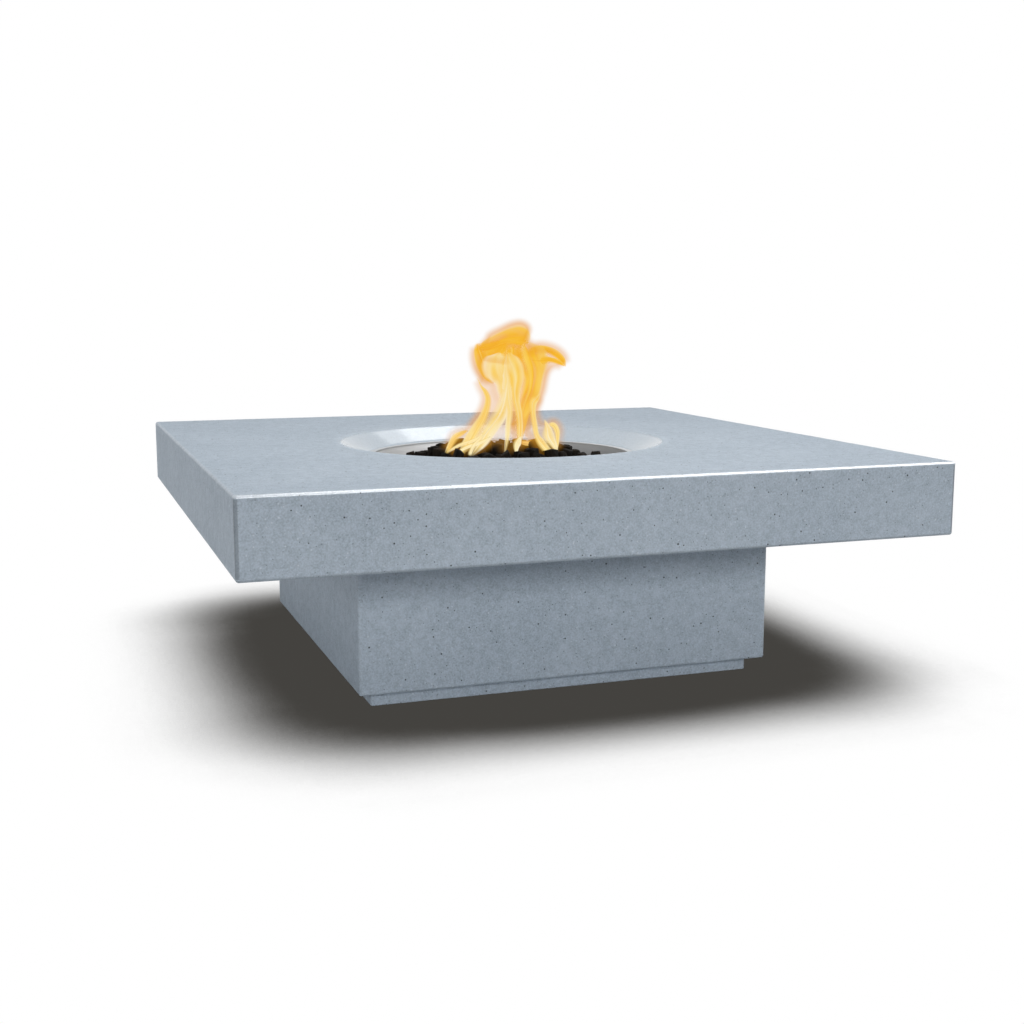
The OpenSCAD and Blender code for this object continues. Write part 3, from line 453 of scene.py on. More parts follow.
class Casting:
    """Rings from the bottom of the hole, over the top, down the outside and back underneath."""

    def __init__(self, half):
        self.half = half
        angles = [math.atan2(p.y, p.x) for p in square_outline(half, EDGE_R)]
        self.ways = [(math.cos(a), math.sin(a)) for a in angles]
        self.points = []
        self.edge = []
        self.polish_and_sheen = []

    def ring(self, points, z, edge, polish_and_sheen):
        self.points += [Vector((p[0], p[1], z)) for p in points]
        self.edge += edge
        self.polish_and_sheen += [polish_and_sheen] * RING_SIZE

    def circle(self, radius, z, polish_and_sheen=0.0):
        points = [(radius * x, radius * y) for x, y in self.ways]
        self.ring(points, z, [0.0] * RING_SIZE, polish_and_sheen)

    def square(self, inset, z, edge=0.0, corner=0.0):
        """A ring at a distance inside the outline. Corner is the edge value on the upright edges."""
        points = square_outline(self.half - inset, EDGE_R - inset)
        values = [corner if i % QUARTER in CORNER_ARC else edge for i in range(RING_SIZE)]
        self.ring(points, z, values, 0.0)

    def between(self, inset, radius, z, steps, inward=False):
        """Rings across a flat face, from a circle out to a square, or inward."""
        outer = square_outline(self.half - inset, EDGE_R - inset)
        order = range(1, steps)
        for i in reversed(order) if inward else order:
            t = i / steps
            points = [
                (p.x * t + radius * x * (1 - t), p.y * t + radius * y * (1 - t))
                for p, (x, y) in zip(outer, self.ways)
            ]
            self.ring(points, z, [0.0] * RING_SIZE, 0.0)

    def rounding(self, z, rising, edge, upright=0.0):
        """A rounded outer edge, from the flat face to the side, or from the side back when rising."""
        rings = [(EDGE_ZONE, 0.0, 0.0), (EDGE_R + SUPPORT, 0.0, 0.0)]
        for a in arc_angles():
            share = math.sqrt(max(math.sin(2 * a), 0.0))
            rings.append((EDGE_R * (1 - math.sin(a)), EDGE_R * (1 - math.cos(a)), share))
        rings += [(0.0, EDGE_R + SUPPORT, 0.0), (0.0, EDGE_ZONE, 0.0)]
        way = 1 if rising else -1
        for inset, depth, share in reversed(rings) if rising else rings:
            corner = upright if depth > EDGE_R else edge * share
            self.square(inset, z + way * depth, edge * share, corner)

    def piece(self, name, waver):
        """The finished piece. Rounded edges waver a little, as cast and rubbed ones do."""
        for p, e in zip(self.points, self.edge):
            if e > 0:
                p += noise.noise_vector(p * WAVER_SCALE) * waver
        rings = len(self.points) // RING_SIZE
        mesh = closed_mesh(name, self.points, ring_faces(rings, RING_SIZE))
        write_attribute(mesh, "edge", self.edge)
        write_attribute(mesh, "polish_and_sheen", self.polish_and_sheen)
        smooth(mesh)
        return put_in_scene(name, mesh, concrete)


# Edge values: wear and a painted highlight along the top's front, their share along the other edges, a
# faint wear and painted highlight on the pedestal and plinth, and painted shade on edges below 0
FRONT_WEAR_AND_HIGHLIGHT = 1.0
SIDE_WEAR_AND_HIGHLIGHT = 0.2
FAINT_WEAR_AND_HIGHLIGHT = 0.08
CORNER_PAINTED_SHADE = -0.8
SKIRT_PAINTED_SHADE = -0.6

# How far rounded edges waver, and how often
WAVER = 0.0004
PLINTH_WAVER = 0.0003
WAVER_SCALE = 28.0

# With a seed, the waver is the same in every run
noise.seed_set(5)

# Width of the eased edges that are not rounded, and half the plinth's height
INNER_EASE = 0.001
PEDESTAL_EASE = 0.002
PLINTH_EASE = 0.0015
PLINTH_MIDDLE = 0.012

# Radius, level, and polish with its painted sheen, of the rings from the collar's foot over the ledge
# to the slope
LEDGE_RINGS = (
    (PAN_HOLE_R, COLLAR_Z, 0.0),
    (PAN_HOLE_R, LEDGE_Z - INNER_EASE, 0.0),
    (PAN_HOLE_R + INNER_EASE, LEDGE_Z, 0.0),
    (SLOPE_R - 0.0005, LEDGE_Z, 0.0),
    (SLOPE_R, LEDGE_Z + 0.0005, 0.0),
    (SLOPE_R, SLOPE_Z - 0.0012, 1.0),
    (SLOPE_R + 0.0006, SLOPE_Z - 0.0002, 1.0),
)

# Rings along the slope and around the rim, where they start, and the polish around the rim, with its
# painted sheen
SLOPE_STEPS = 8
SLOPE_START = 0.03
RIM_POLISH_AND_SHEEN = 0.15
FLAT_POLISH_AND_SHEEN = 0.10
POLISH_AND_SHEEN_END = 0.003
FLAT_START = 0.010


def make_top():
    cast = Casting(TOP_HALF)
    for radius, z, polish_and_sheen in LEDGE_RINGS:
        cast.circle(radius, z, polish_and_sheen)
    slope = math.atan2(TABLE_H - SLOPE_Z, RIM_R - SLOPE_R)
    round_x = RIM_R + RIM_ROUND * math.tan(slope / 2)
    slope_x = round_x - RIM_ROUND * math.sin(slope)
    slope_z = TABLE_H - RIM_ROUND * (1 - math.cos(slope))
    for i in range(SLOPE_STEPS + 1):
        t = SLOPE_START + (1 - SLOPE_START) * i / SLOPE_STEPS
        cast.circle(SLOPE_R + (slope_x - SLOPE_R) * t, SLOPE_Z + (slope_z - SLOPE_Z) * t, 1.0)
    for i in range(1, SLOPE_STEPS + 1):
        a = slope * (1 - i / SLOPE_STEPS)
        drop = RIM_ROUND * (1 - math.cos(a))
        cast.circle(round_x - RIM_ROUND * math.sin(a), TABLE_H - drop, max(RIM_POLISH_AND_SHEEN, 1 - i / 3))
    cast.circle(round_x + POLISH_AND_SHEEN_END, TABLE_H, FLAT_POLISH_AND_SHEEN)
    cast.circle(round_x + FLAT_START, TABLE_H)
    cast.between(EDGE_ZONE, round_x + FLAT_START, TABLE_H, 10)
    # The top's upright corners and the skirt's lower edge carry painted shade.
    cast.rounding(TABLE_H, False, FRONT_WEAR_AND_HIGHLIGHT, CORNER_PAINTED_SHADE)
    for t in (0.12, 0.37, 0.63, 0.88):
        cast.square(0.0, TABLE_H + (SKIRT_Z - TABLE_H) * t, 0.0, CORNER_PAINTED_SHADE)
    cast.rounding(SKIRT_Z, True, SKIRT_PAINTED_SHADE, CORNER_PAINTED_SHADE)
    cast.square(WALL - INNER_EASE, SKIRT_Z)
    cast.square(WALL, SKIRT_Z + INNER_EASE)
    cast.square(WALL, DECK_Z)
    cast.between(WALL, COLLAR_R, DECK_Z, 6, inward=True)
    cast.circle(COLLAR_R, DECK_Z)
    cast.circle(COLLAR_R, COLLAR_Z)
    # Only the top's front edge keeps its full wear and painted highlight; the other top edges keep a
    # share.
    for i, p in enumerate(cast.points):
        if cast.edge[i] > 0 and p.y > EDGE_R - TOP_HALF:
            cast.edge[i] *= SIDE_WEAR_AND_HIGHLIGHT
    return cast.piece("top_casting", WAVER)


def cut(piece, low, high):
    """Cuts a straight opening in a piece, with a plain block."""
    low, high = Vector(low), Vector(high)
    work = bmesh.new()
    place = Matrix.Translation((low + high) / 2) @ Matrix.Diagonal((*(high - low), 1.0))
    bmesh.ops.create_cube(work, size=1.0, matrix=place)
    mesh = bpy.data.meshes.new("cutter")
    work.to_mesh(mesh)
    work.free()
    block = put_in_scene("cutter", mesh, concrete)
    modifier = piece.modifiers.new("opening", "BOOLEAN")
    modifier.operation = "DIFFERENCE"
    modifier.solver = "EXACT"
    modifier.object = block
    graph = bpy.context.evaluated_depsgraph_get()
    result = bpy.data.meshes.new_from_object(piece.evaluated_get(graph))
    piece.modifiers.remove(modifier)
    piece.data = result
    bpy.data.objects.remove(block)


# Borders of the fittings around their openings in the pedestal's wall
FRAME_BORDER = 0.020
PANEL_BORDER = 0.015
CUT_REACH = 0.05

# What covers each opening, its border, and the axis along which the opening is cut
OPENINGS = (("door_frame", FRAME_BORDER, 1), ("control_panel", PANEL_BORDER, 1),
            ("vent_grille", FRAME_BORDER, 0))


def make_pedestal():
    low, high = PEDESTAL_LOW.z, PEDESTAL_HIGH.z
    cast = Casting(PEDESTAL_HALF)
    inner = PEDESTAL_HALF - GROUND_HALF
    cast.square(inner, low)
    cast.square(inner, FLANGE_TOP)
    cast.square(WALL, FLANGE_TOP)
    cast.square(WALL, high)
    cast.square(PEDESTAL_EASE, high)
    cast.square(0.0, high - PEDESTAL_EASE)
    # The upright corners and the foot's edge get a faint wear and painted highlight.
    for t in (0.3, 0.5, 0.7, 0.85, 0.95):
        cast.square(0.0, high + (low - high) * t, 0.0, FAINT_WEAR_AND_HIGHLIGHT)
    cast.rounding(low, True, FAINT_WEAR_AND_HIGHLIGHT)
    piece = cast.piece("pedestal_casting", WAVER)
    for node, border, axis in OPENINGS:
        box_low, box_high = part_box(node)
        start, end = [c + border for c in box_low], [c - border for c in box_high]
        start[axis], end[axis] = PEDESTAL_HALF - CUT_REACH, PEDESTAL_HALF + CUT_REACH
        cut(piece, start, end)
    return piece


def make_plinth():
    low, high = PLINTH_LOW.z, PLINTH_HIGH.z
    cast = Casting(PLINTH_HALF)
    inner = PLINTH_HALF - GROUND_HALF
    cast.square(inner, low)
    cast.square(inner, high)
    cast.square(PLINTH_EASE, high)
    cast.square(0.0, high - PLINTH_EASE)
    # The plinth's upright corners get a faint wear and painted highlight.
    cast.square(0.0, low + PLINTH_MIDDLE, 0.0, FAINT_WEAR_AND_HIGHLIGHT)
    cast.square(0.0, low + INNER_EASE)
    cast.square(INNER_EASE, low)
    return cast.piece("plinth_casting", PLINTH_WAVER)


stand_in(make_top(), "table_top")
stand_in(make_pedestal(), "pedestal")
stand_in(make_plinth(), "plinth")


# Lava rock
BED_R = 0.2525
ROCK_EASE = 0.10
ROCK_ANGLE = 32.0
ROCK_GROWTH = 1.04

# Rocks beyond this radius lie higher than their solids, on a thicker bed
OUTER_R = 0.15
OUTER_LIFT = 0.011


def chunk(rng, ease):
    """Points and faces of a broken, blocky rock about one unit in radius, with eased edges."""
    work = bmesh.new()
    for corner in itertools.product((-1, 1), repeat=3):
        work.verts.new([c * rng.uniform(0.62, 1.0) for c in corner])
    for axis in range(3):
        for sign in (-1, 1):
            place = [rng.uniform(-0.4, 0.4) for _ in range(3)]
            place[axis] = sign * rng.uniform(0.84, 1.08)
            work.verts.new(place)
    hull = bmesh.ops.convex_hull(work, input=work.verts)
    inside = [v for v in hull["geom_interior"] if isinstance(v, bmesh.types.BMVert)]
    bmesh.ops.delete(work, geom=inside, context="VERTS")
    if ease:
        bmesh.ops.bevel(work, geom=work.edges[:], offset=ease, segments=2, profile=0.6,
                        affect="EDGES", clamp_overlap=True)
    work.verts.index_update()
    points = [v.co.copy() for v in work.verts]
    faces = [tuple(v.index for v in f.verts) for f in work.faces]
    work.free()
    return points, faces


def corners(points):
    """Lowest and highest corner of the box around some points."""
    return [Vector([pick(p[i] for p in points) for i in range(3)]) for pick in (min, max)]


class Pile:
    """Many rocks in one mesh."""

    def __init__(self, seed):
        self.rng = random.Random(seed)
        self.points = []
        self.faces = []

    def add(self, centre, half, ease):
        points, faces = chunk(self.rng, ease)
        turn = Matrix.Rotation(self.rng.uniform(0, math.tau), 3, "Z")
        tilt = Matrix.Rotation(self.rng.uniform(-0.5, 0.5), 3, "X")
        points = [turn @ tilt @ p for p in points]
        low, high = corners(points)
        start = len(self.points)
        for p in points:
            share = [(p[i] - low[i]) / (high[i] - low[i]) * 2 - 1 for i in range(3)]
            self.points.append(Vector([centre[i] + half[i] * share[i] for i in range(3)]))
        self.faces += [tuple(i + start for i in face) for face in faces]

    def piece(self, name):
        mesh = closed_mesh(name, self.points, self.faces)
        smooth(mesh, ROCK_ANGLE)
        return put_in_scene(name, mesh, lava)


def islands(node):
    """Lowest and highest corner of each separate solid in a node."""
    work = bmesh.new()
    work.from_mesh(nodes[node].data)
    bmesh.ops.remove_doubles(work, verts=work.verts, dist=1e-6)
    found = []
    left = set(work.verts)
    while left:
        group, stack = [], [left.pop()]
        while stack:
            v = stack.pop()
            group.append(v.co.copy())
            near = {e.other_vert(v) for e in v.link_edges} & left
            left -= near
            stack += near
        found.append(corners(group))
    work.free()
    return sorted(found, key=lambda b: (round(b[0].x, 5), round(b[0].y, 5)))


ROCK_BOXES = islands("lava_rocks")
BED_LOW, BED_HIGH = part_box("lava_bed")


def make_rocks():
    pile = Pile(7)
    for low, high in ROCK_BOXES:
        half = (high - low) / 2 * ROCK_GROWTH
        half.x *= pile.rng.uniform(0.80, 1.0)
        half.y *= pile.rng.uniform(0.80, 1.0)
        half.z *= pile.rng.uniform(0.62, 1.0)
        centre = (low + high) / 2
        lift = OUTER_LIFT if centre.xy.length > OUTER_R else 0.0
        pile.add((*centre.xy, low.z + half.z + lift), half, ROCK_EASE)
    return pile.piece("lava_rock_pile")


# Radius of the bed's terraces, as the rocks lie on them, and their depth under its top
TERRACES = ((0.0, 0.0), (0.140, 0.0), (0.152, 0.013), (0.176, 0.013), (0.184, 0.019),
            (0.207, 0.019), (0.217, 0.029), (BED_R, 0.029))
TERRACE_LEVELS = [(radius, BED_HIGH.z - depth) for radius, depth in TERRACES]


def bed_level(radius):
    for (r0, z0), (r1, z1) in zip(TERRACE_LEVELS, TERRACE_LEVELS[1:]):
        if radius <= r1:
            return z0 + (z1 - z0) * (radius - r0) / (r1 - r0)
    return TERRACE_LEVELS[-1][1]


BED_ROUGHNESS = 0.003
CHIPS = 520
CHIPS_R = BED_R * 0.975
CHIP_SMALL, CHIP_LARGE = 0.004, 0.0085


def make_fill():
    """A rough bed with small chips on it. It fills the pan up to the rocks."""
    around, across = 96, 40
    points = [Vector((0, 0, BED_HIGH.z))]
    for i in range(1, across + 1):
        radius = BED_R * i / across
        for j in range(around):
            a = math.tau * j / around
            p = Vector((radius * math.cos(a), radius * math.sin(a), bed_level(radius)))
            p.z += noise.fractal(p * 90.0, 0.8, 2.0, 3) * BED_ROUGHNESS
            points.append(p)
    foot = len(points)
    points += [Vector((p.x, p.y, BED_LOW.z)) for p in points[-around:]]
    faces = [(0, 1 + j, 1 + (j + 1) % around) for j in range(around)]
    for face in ring_faces(across + 1, around)[:across * around]:
        faces.append(tuple(1 + i for i in face))
    faces.append(tuple(reversed(range(foot, foot + around))))
    pile = Pile(19)
    pile.points = points
    pile.faces = faces
    for _ in range(CHIPS):
        radius = CHIPS_R * math.sqrt(pile.rng.uniform(0.0, 1.0))
        a = pile.rng.uniform(0, math.tau)
        size = pile.rng.uniform(CHIP_SMALL, CHIP_LARGE)
        centre = Vector((radius * math.cos(a), radius * math.sin(a), bed_level(radius) + 0.4 * size))
        half = [size * pile.rng.uniform(0.75, 1.15) for _ in range(2)]
        half.append(size * pile.rng.uniform(0.6, 0.9))
        pile.add(centre, half, 0.0)
    return pile.piece("lava_fill")


stand_in(make_rocks(), "lava_rocks")
stand_in(make_fill(), "lava_bed")


# Nodes that keep their shape get a finish, and eased edges of the given width
FINISHES = (
    (brass, 0.0004, (
        "deck_inserts", "wall_inserts", "plinth_inserts", "burner_locknut", "gas_elbow", "elbow_nut",
        "outlet_nut", "valve_body", "valve_stem")),
    (zinc, 0.0004, (
        "plinth_bolts", "plinth_washers", "support_cleats", "cleat_deck_bolts", "cleat_wall_bolts",
        "valve_sleeve", "sleeve_locknut", "panel_screws", "igniter_nut", "wire_clips", "electrode_nut",
        "electrode_tip", "door_frame_screws", "hinge_pins", "vent_screws")),
    (rubber, 0.0005, ("bearing_pads",)),
    (pan_steel, 0.0006, ("burner_pan",)),
    (fibre, 0.0, ("pan_gasket",)),
    (tube_steel, 0.0, ("burner_ring",)),
    (chrome, 0.0006, ("valve_escutcheon", "valve_key")),
    (panel_steel, 0.0005, ("control_panel", "door_frame", "door_panel")),
    (grille_steel, 0.0005, ("vent_grille",)),
    (bar_steel, 0.0008, ("door_pull",)),
    (plastic, 0.0006, ("igniter_body", "igniter_button")),
    (porcelain, 0.0005, ("electrode_insulator",)),
    (magnet, 0.0006, ("catch_magnet",)),
)


EASED_ANGLE = math.radians(40)


def dress(node, material, ease):
    piece = nodes[node]
    piece.data.materials.clear()
    piece.data.materials.append(material)
    if ease:
        bevel = piece.modifiers.new("eased edges", "BEVEL")
        bevel.width = ease
        bevel.segments = 2
        bevel.limit_method = "ANGLE"
        bevel.angle_limit = EASED_ANGLE
        bevel.harden_normals = True


for material, ease, names in FINISHES:
    for name in names:
        dress(name, material, ease)


# Hose and lead: each runs along a smooth route in a vertical plane
def smooth_route(points, steps):
    """A smooth curve through the points."""
    route = []
    for i in range(len(points) - 1):
        a, b = points[max(i - 1, 0)], points[i]
        c, d = points[i + 1], points[min(i + 2, len(points) - 1)]
        for k in range(steps):
            t = k / steps
            route.append(0.5 * (2 * b + (c - a) * t + (2 * a - 5 * b + 4 * c - d) * t ** 2
                                + (3 * b - a - 3 * c + d) * t ** 3))
    return route + [points[-1]]


def even_steps(route, step):
    """The same route with points at even distances."""
    out = [route[0]]
    left = step
    for a, b in zip(route, route[1:]):
        length = (b - a).length
        while length > left:
            a = a + (b - a) * (left / length)
            length -= left
            out.append(a)
            left = step
        left -= length
    return out + [route[-1]]


def heading(route, i):
    """Direction of a route at one of its points."""
    return (route[min(i + 1, len(route) - 1)] - route[max(i - 1, 0)]).normalized()


def hoop(place, radius, sides, x, y):
    """Points of a circle around a place, in the plane of two directions."""
    angles = [math.tau * j / sides for j in range(sides)]
    return [place + radius * (math.cos(a) * x + math.sin(a) * y) for a in angles]


def sweep(name, route, normal, radii, sides, material):
    """A closed tube along a route in a plane, with its own radius at each point."""
    points = []
    for i, place in enumerate(route):
        points += hoop(place, radii[i], sides, normal, normal.cross(heading(route, i)))
    mesh = closed_mesh(name, points, tube_faces(len(route), sides))
    smooth(mesh, 60.0)
    return put_in_scene(name, mesh, material)


HOSE_R = 7.5 * MM
HOSE_PLAIN_END = HOSE_R * 2.2
RIB_PITCH = 4.2 * MM
RIB_STEPS = 6
RIB_DEPTH = 1.1 * MM
ELBOW_NUT_END = 0.072

# Routes: distances and heights in mm from the fitting where a line starts, and where it ends
HOSE_LEAVE = ((0, 0), (10, 0), (24, 0), (60, 1), (110, 2), (160, 2), (205, 1))
HOSE_ARRIVE = ((-58, 76), (-34, 68), (-14, 52), (-3, 32), (0, 18), (0, 9), (0, 0))
WIRE_LEAVE = ((0, 0), (-6, 0), (-14, 0), (-25, 3), (-32, 12), (-34, 26), (-34, 60), (-34, 100))
WIRE_ARRIVE = ((241, -42), (238, -28), (230, -17), (216, -12), (180, -12), (130, -12), (80, -12),
               (32, -12), (12, -11.5), (3, -9), (0, -5), (0, -2.5), (0, 0))
WIRE_R = 2.5 * MM


def in_plane(leave, arrive, out, start, end):
    """Points of a route in space: out is the plane's level direction from the upright axis."""
    flat = [start + Vector(p) * MM for p in leave] + [end + Vector(p) * MM for p in arrive]
    return [out * p.x + Vector((0, 0, p.y)) for p in flat]


def middle(node):
    low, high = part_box(node)
    return (low + high) / 2


def make_hose():
    """Corrugated hose from the elbow's nut to the valve's outlet nut."""
    valve = Vector((*middle("outlet_nut").xy, 0))
    out = valve.normalized()
    start = Vector((ELBOW_NUT_END, middle("elbow_nut").z))
    end = Vector((valve.length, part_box("outlet_nut")[1].z))
    route = in_plane(HOSE_LEAVE, HOSE_ARRIVE, out, start, end)
    route = even_steps(smooth_route(route, 8), RIB_PITCH / RIB_STEPS)
    radii = []
    for i in range(len(route)):
        from_end = min(i, len(route) - 1 - i) * RIB_PITCH / RIB_STEPS
        wave = 0.5 - 0.5 * math.cos(math.tau * i / RIB_STEPS)
        radii.append(HOSE_R - RIB_DEPTH * wave if from_end > HOSE_PLAIN_END else HOSE_R)
    return sweep("corrugated_hose", route, out.cross(Vector((0, 0, 1))), radii, 24, tube_steel)


def make_wire():
    """High-voltage lead from the igniter's terminal to the electrode."""
    body = middle("igniter_body")
    start = Vector((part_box("igniter_body")[0].y, body.z))
    end = Vector((middle("electrode_insulator").y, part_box("electrode_insulator")[0].z))
    route = in_plane(WIRE_LEAVE, WIRE_ARRIVE, Vector((0, 1, 0)), start, end)
    route = [p + Vector((body.x, 0, 0)) for p in smooth_route(route, 6)]
    return sweep("ignition_lead", route, Vector((1, 0, 0)), [WIRE_R] * len(route), 16, wire_sleeve)


stand_in(make_hose(), "gas_hose")
stand_in(make_wire(), "ignition_wire")


# Flame: sheets of burning gas and a glow around them. It is light, not a piece, so it is not attached
# to the table.
# Each station holds the distances to the side and in depth, the height, and half the width, in mm,
# turned towards the photo's view
FLAME_TURN = Matrix.Rotation(-CAMERA_YAW, 3, "Z")
AMBER_SHEETS = (
    ((-50, 4, 591, 2), (-38, 4, 585, 9), (-19, 3, 588, 14), (1, 2, 596, 16), (23, 0, 600, 21),
     (41, 0, 600, 21), (53, 0, 594, 6)),
    ((-48, 6, 594, 3), (-42, 6, 575, 10), (-33, 6, 552, 13), (-22, 6, 532, 11), (-12, 6, 524, 3)),
    ((36, 6, 396, 2), (37, 6, 410, 5), (39, 6, 432, 8), (42, 6, 459, 12), (48, 5, 481, 15),
     (55, 4, 503, 18), (58, 4, 526, 20), (55, 3, 546, 30), (48, 2, 564, 36), (44, 2, 580, 30),
     (42, 2, 594, 12)),
    ((50, 8, 572, 6), (70, 8, 581, 6), (86, 8, 581, 6), (104, 8, 573, 7), (118, 8, 561, 6),
     (126, 8, 548, 1)),
    ((60, 2, 560, 12), (78, 2, 560, 8), (95, 2, 561, 5), (112, 2, 556, 4), (124, 2, 549, 1)),
    ((37, -10, 402, 3), (50, -10, 400, 5), (63, -10, 401, 4), (72, -10, 408, 1)),
    ((-12, 8, 516, 5), (-19, 8, 530, 12), (-21, 8, 550, 17), (-14, 8, 568, 21), (0, 8, 584, 17),
     (8, 8, 596, 6)),
    ((20, 8, 500, 8), (20, 8, 530, 12), (20, 8, 560, 18), (22, 8, 590, 14)),
)
YELLOW_SHEETS = (
    ((34, -20, 394, 1), (35, -20, 410, 4), (35, -20, 434, 6), (33, -20, 460, 6), (28, -18, 482, 7),
     (26, -16, 504, 10), (28, -14, 526, 13), (24, -12, 546, 15), (16, -12, 564, 12), (14, -12, 576, 3)),
    ((-78, -84, 382, 2), (-70, -82, 396, 7), (-59, -80, 412, 10), (-46, -72, 434, 9),
     (-35, -62, 451, 8), (-27, -52, 472, 6), (-25, -44, 489, 5), (-30, -40, 502, 4),
     (-38, -38, 512, 2), (-46, -36, 528, 0.5)),
    ((-106, -60, 384, 3), (-97, -60, 401, 5), (-88, -58, 415, 6), (-75, -54, 423, 4),
     (-64, -50, 428, 1)),
    ((106, -60, 386, 2), (90, -60, 390, 6), (77, -56, 404, 7), (68, -50, 419, 5), (64, -44, 440, 5),
     (61, -38, 462, 5), (61, -34, 480, 7), (68, -30, 489, 6), (76, -28, 498, 1)),
    ((90, -30, 436, 2), (101, -30, 436, 5), (108, -30, 424, 5), (109, -32, 404, 3), (108, -34, 386, 1)),
)
LIGHT_SHEETS = (
    ((12, -22, 485, 10), (7, -22, 503, 12), (3, -22, 521, 13), (-4, -22, 541, 24), (-5, -20, 557, 25),
     (-3, -18, 568, 15), (-2, -18, 576, 3)),
    ((6, -80, 382, 1), (12, -70, 414, 4), (14, -60, 439, 5), (17, -45, 464, 6), (14, -35, 484, 8),
     (12, -30, 505, 8), (11, -28, 524, 7), (9, -26, 542, 5), (11, -26, 573, 1)),
    ((-58, -84, 382, 2), (-48, -80, 396, 7), (-38, -74, 410, 11), (-28, -66, 424, 12),
     (-15, -56, 441, 12), (-3, -46, 458, 12), (4, -38, 475, 11), (8, -32, 492, 10),
     (10, -28, 508, 8), (11, -26, 524, 3)),
    ((110, -40, 382, 1), (102, -40, 398, 6), (92, -38, 414, 10), (90, -36, 427, 8), (88, -34, 437, 4),
     (84, -34, 447, 1)),
    ((29, -76, 384, 1), (29, -76, 399, 5), (32, -74, 408, 6), (38, -72, 419, 1)),
    ((-103, -88, 390, 2), (-79, -88, 404, 3), (-52, -86, 413, 3), (-32, -84, 424, 1)),
    ((-92, -90, 384, 1), (-66, -90, 400, 3), (-39, -88, 409, 3), (-20, -86, 420, 1)),
    ((-61, -92, 384, 3), (-52, -92, 404, 3), (-34, -90, 423, 1)),
)
SHEET_STEPS = 6
SHEET_COLUMNS = 12
SHEET_NARROW = 0.3
SHEET_SPREAD = 1.35
SHEET_BULGE = 0.35
CROSSED_WIDTH = 0.7

# Scales of the fire's pattern across and along a sheet, and its steps between sheets
FLOW_ACROSS, FLOW_ALONG = 40, 9
FLOW_STEP, FLOW_CROSSED = 7.3, 3.1

# The glow's reach around the sheets, the sides of its tubes and its density; then the whole flame
GLOW = 16.0 * MM
GLOW_SIDES = 14
GLOW_DENSITY = 42.0
FLAME_PALE = rgb(1.0, 0.94, 0.66)
FLAME_MIDDLE = FLAME_TURN @ Vector((12, 0, 510)) * MM


def flame_places(sheet):
    """Places along a sheet, each with half its width and the directions across it and in depth."""
    stations = smooth_route([Vector(s) for s in sheet], SHEET_STEPS)
    places = [FLAME_TURN @ s.xyz * MM for s in stations]
    for i, place in enumerate(places):
        along = heading(places, i)
        across = along.cross(FLAME_TURN @ Vector((0, 1, 0))).normalized()
        half = max(stations[i].w, SHEET_NARROW) * SHEET_SPREAD * MM
        yield place, half, across, across.cross(along)


def sinks_with_valve(piece):
    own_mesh(piece)


def make_sheet_fire(name, dark, body, rim):
    """Burning gas in a sheet: its outer border crisp and bright, the inner one fading."""
    s = Shader(name)
    across = s.attribute("across")
    along = s.attribute("along")
    level = s.height()
    s.place = s.add("ShaderNodeAttribute", attribute_name="flow").outputs["Vector"]
    flow = s.noise(0.9, 2.0, 0.5, distortion=0.7)
    streak = s.noise(1.1, 1.0, 0.5, distortion=0.4)
    colour = s.mix(s.spread(flow, 0.38, 0.60), dark, body)
    colour = s.mix(s.spread(level, 0.40, 0.50, 0.25, 0.0), colour, FLAME_PALE)
    colour = s.mix(s.spread(streak, 0.50, 0.72, 0.0, 0.5), colour, rim)
    colour = s.mix(s.spread(across, -0.85, -0.35, 0.7, 0.0), colour, rim)
    colour = s.mix(s.spread(across, 0.30, 0.90, 0.0, 0.7), colour, dark)
    sides = s.math("MULTIPLY", s.spread(across, -1.0, -0.76), s.spread(across, 0.30, 1.0, 1.0, 0.0))
    clear = s.math("MULTIPLY", sides, s.spread(flow, 0.28, 0.50, 0.80, 1.0))
    ends = s.math("MULTIPLY", s.spread(along, 0.0, 0.16), s.spread(along, 0.86, 1.0, 1.0, 0.25))
    fire = s.add("ShaderNodeEmission", {"Color": colour}).outputs[0]
    air = s.add("ShaderNodeBsdfTransparent").outputs[0]
    share = s.math("MULTIPLY", clear, ends)
    return s.show(s.add("ShaderNodeMixShader", {0: share, 1: air, 2: fire}).outputs[0])


def make_sheets(name, sheets, material):
    """Sheets in one mesh, each with a second one across it for views from the side."""
    points, faces, across, along, flow = [], [], [], [], []
    count = SHEET_COLUMNS + 1
    for number, sheet in enumerate(sheets):
        places = list(flame_places(sheet))
        centre, _, side, _ = places[len(places) // 2]
        crisp = -1 if (centre - FLAME_MIDDLE).dot(side) > 0 else 1
        for crossed in (False, True):
            first = len(points)
            length = 0.0
            for i, (place, half, side, deep) in enumerate(places):
                length += (place - places[max(i - 1, 0)][0]).length
                wide, back = (deep * CROSSED_WIDTH, side) if crossed else (side, deep)
                for j in range(count):
                    u = 2 * j / SHEET_COLUMNS - 1
                    bulge = half * SHEET_BULGE * (u * u - 0.5)
                    points.append(place + wide * half * u + back * bulge)
                    across.append(crisp * u)
                    along.append(i / (len(places) - 1))
                    flow += [u * half * FLOW_ACROSS, length * FLOW_ALONG,
                             number * FLOW_STEP + FLOW_CROSSED * crossed]
            for i in range(len(places) - 1):
                a = first + i * count
                for j in range(a, a + SHEET_COLUMNS):
                    faces.append((j, j + 1, j + 1 + count, j + count))
    mesh = bpy.data.meshes.new(name)
    mesh.from_pydata(points, [], faces)
    write_attribute(mesh, "across", across)
    write_attribute(mesh, "along", along)
    mesh.attributes.new("flow", "FLOAT_VECTOR", "POINT").data.foreach_set("vector", flow)
    mesh.shade_smooth()
    piece = put_in_scene(name, mesh, material)
    piece.visible_shadow = False
    piece.visible_glossy = False
    sinks_with_valve(piece)


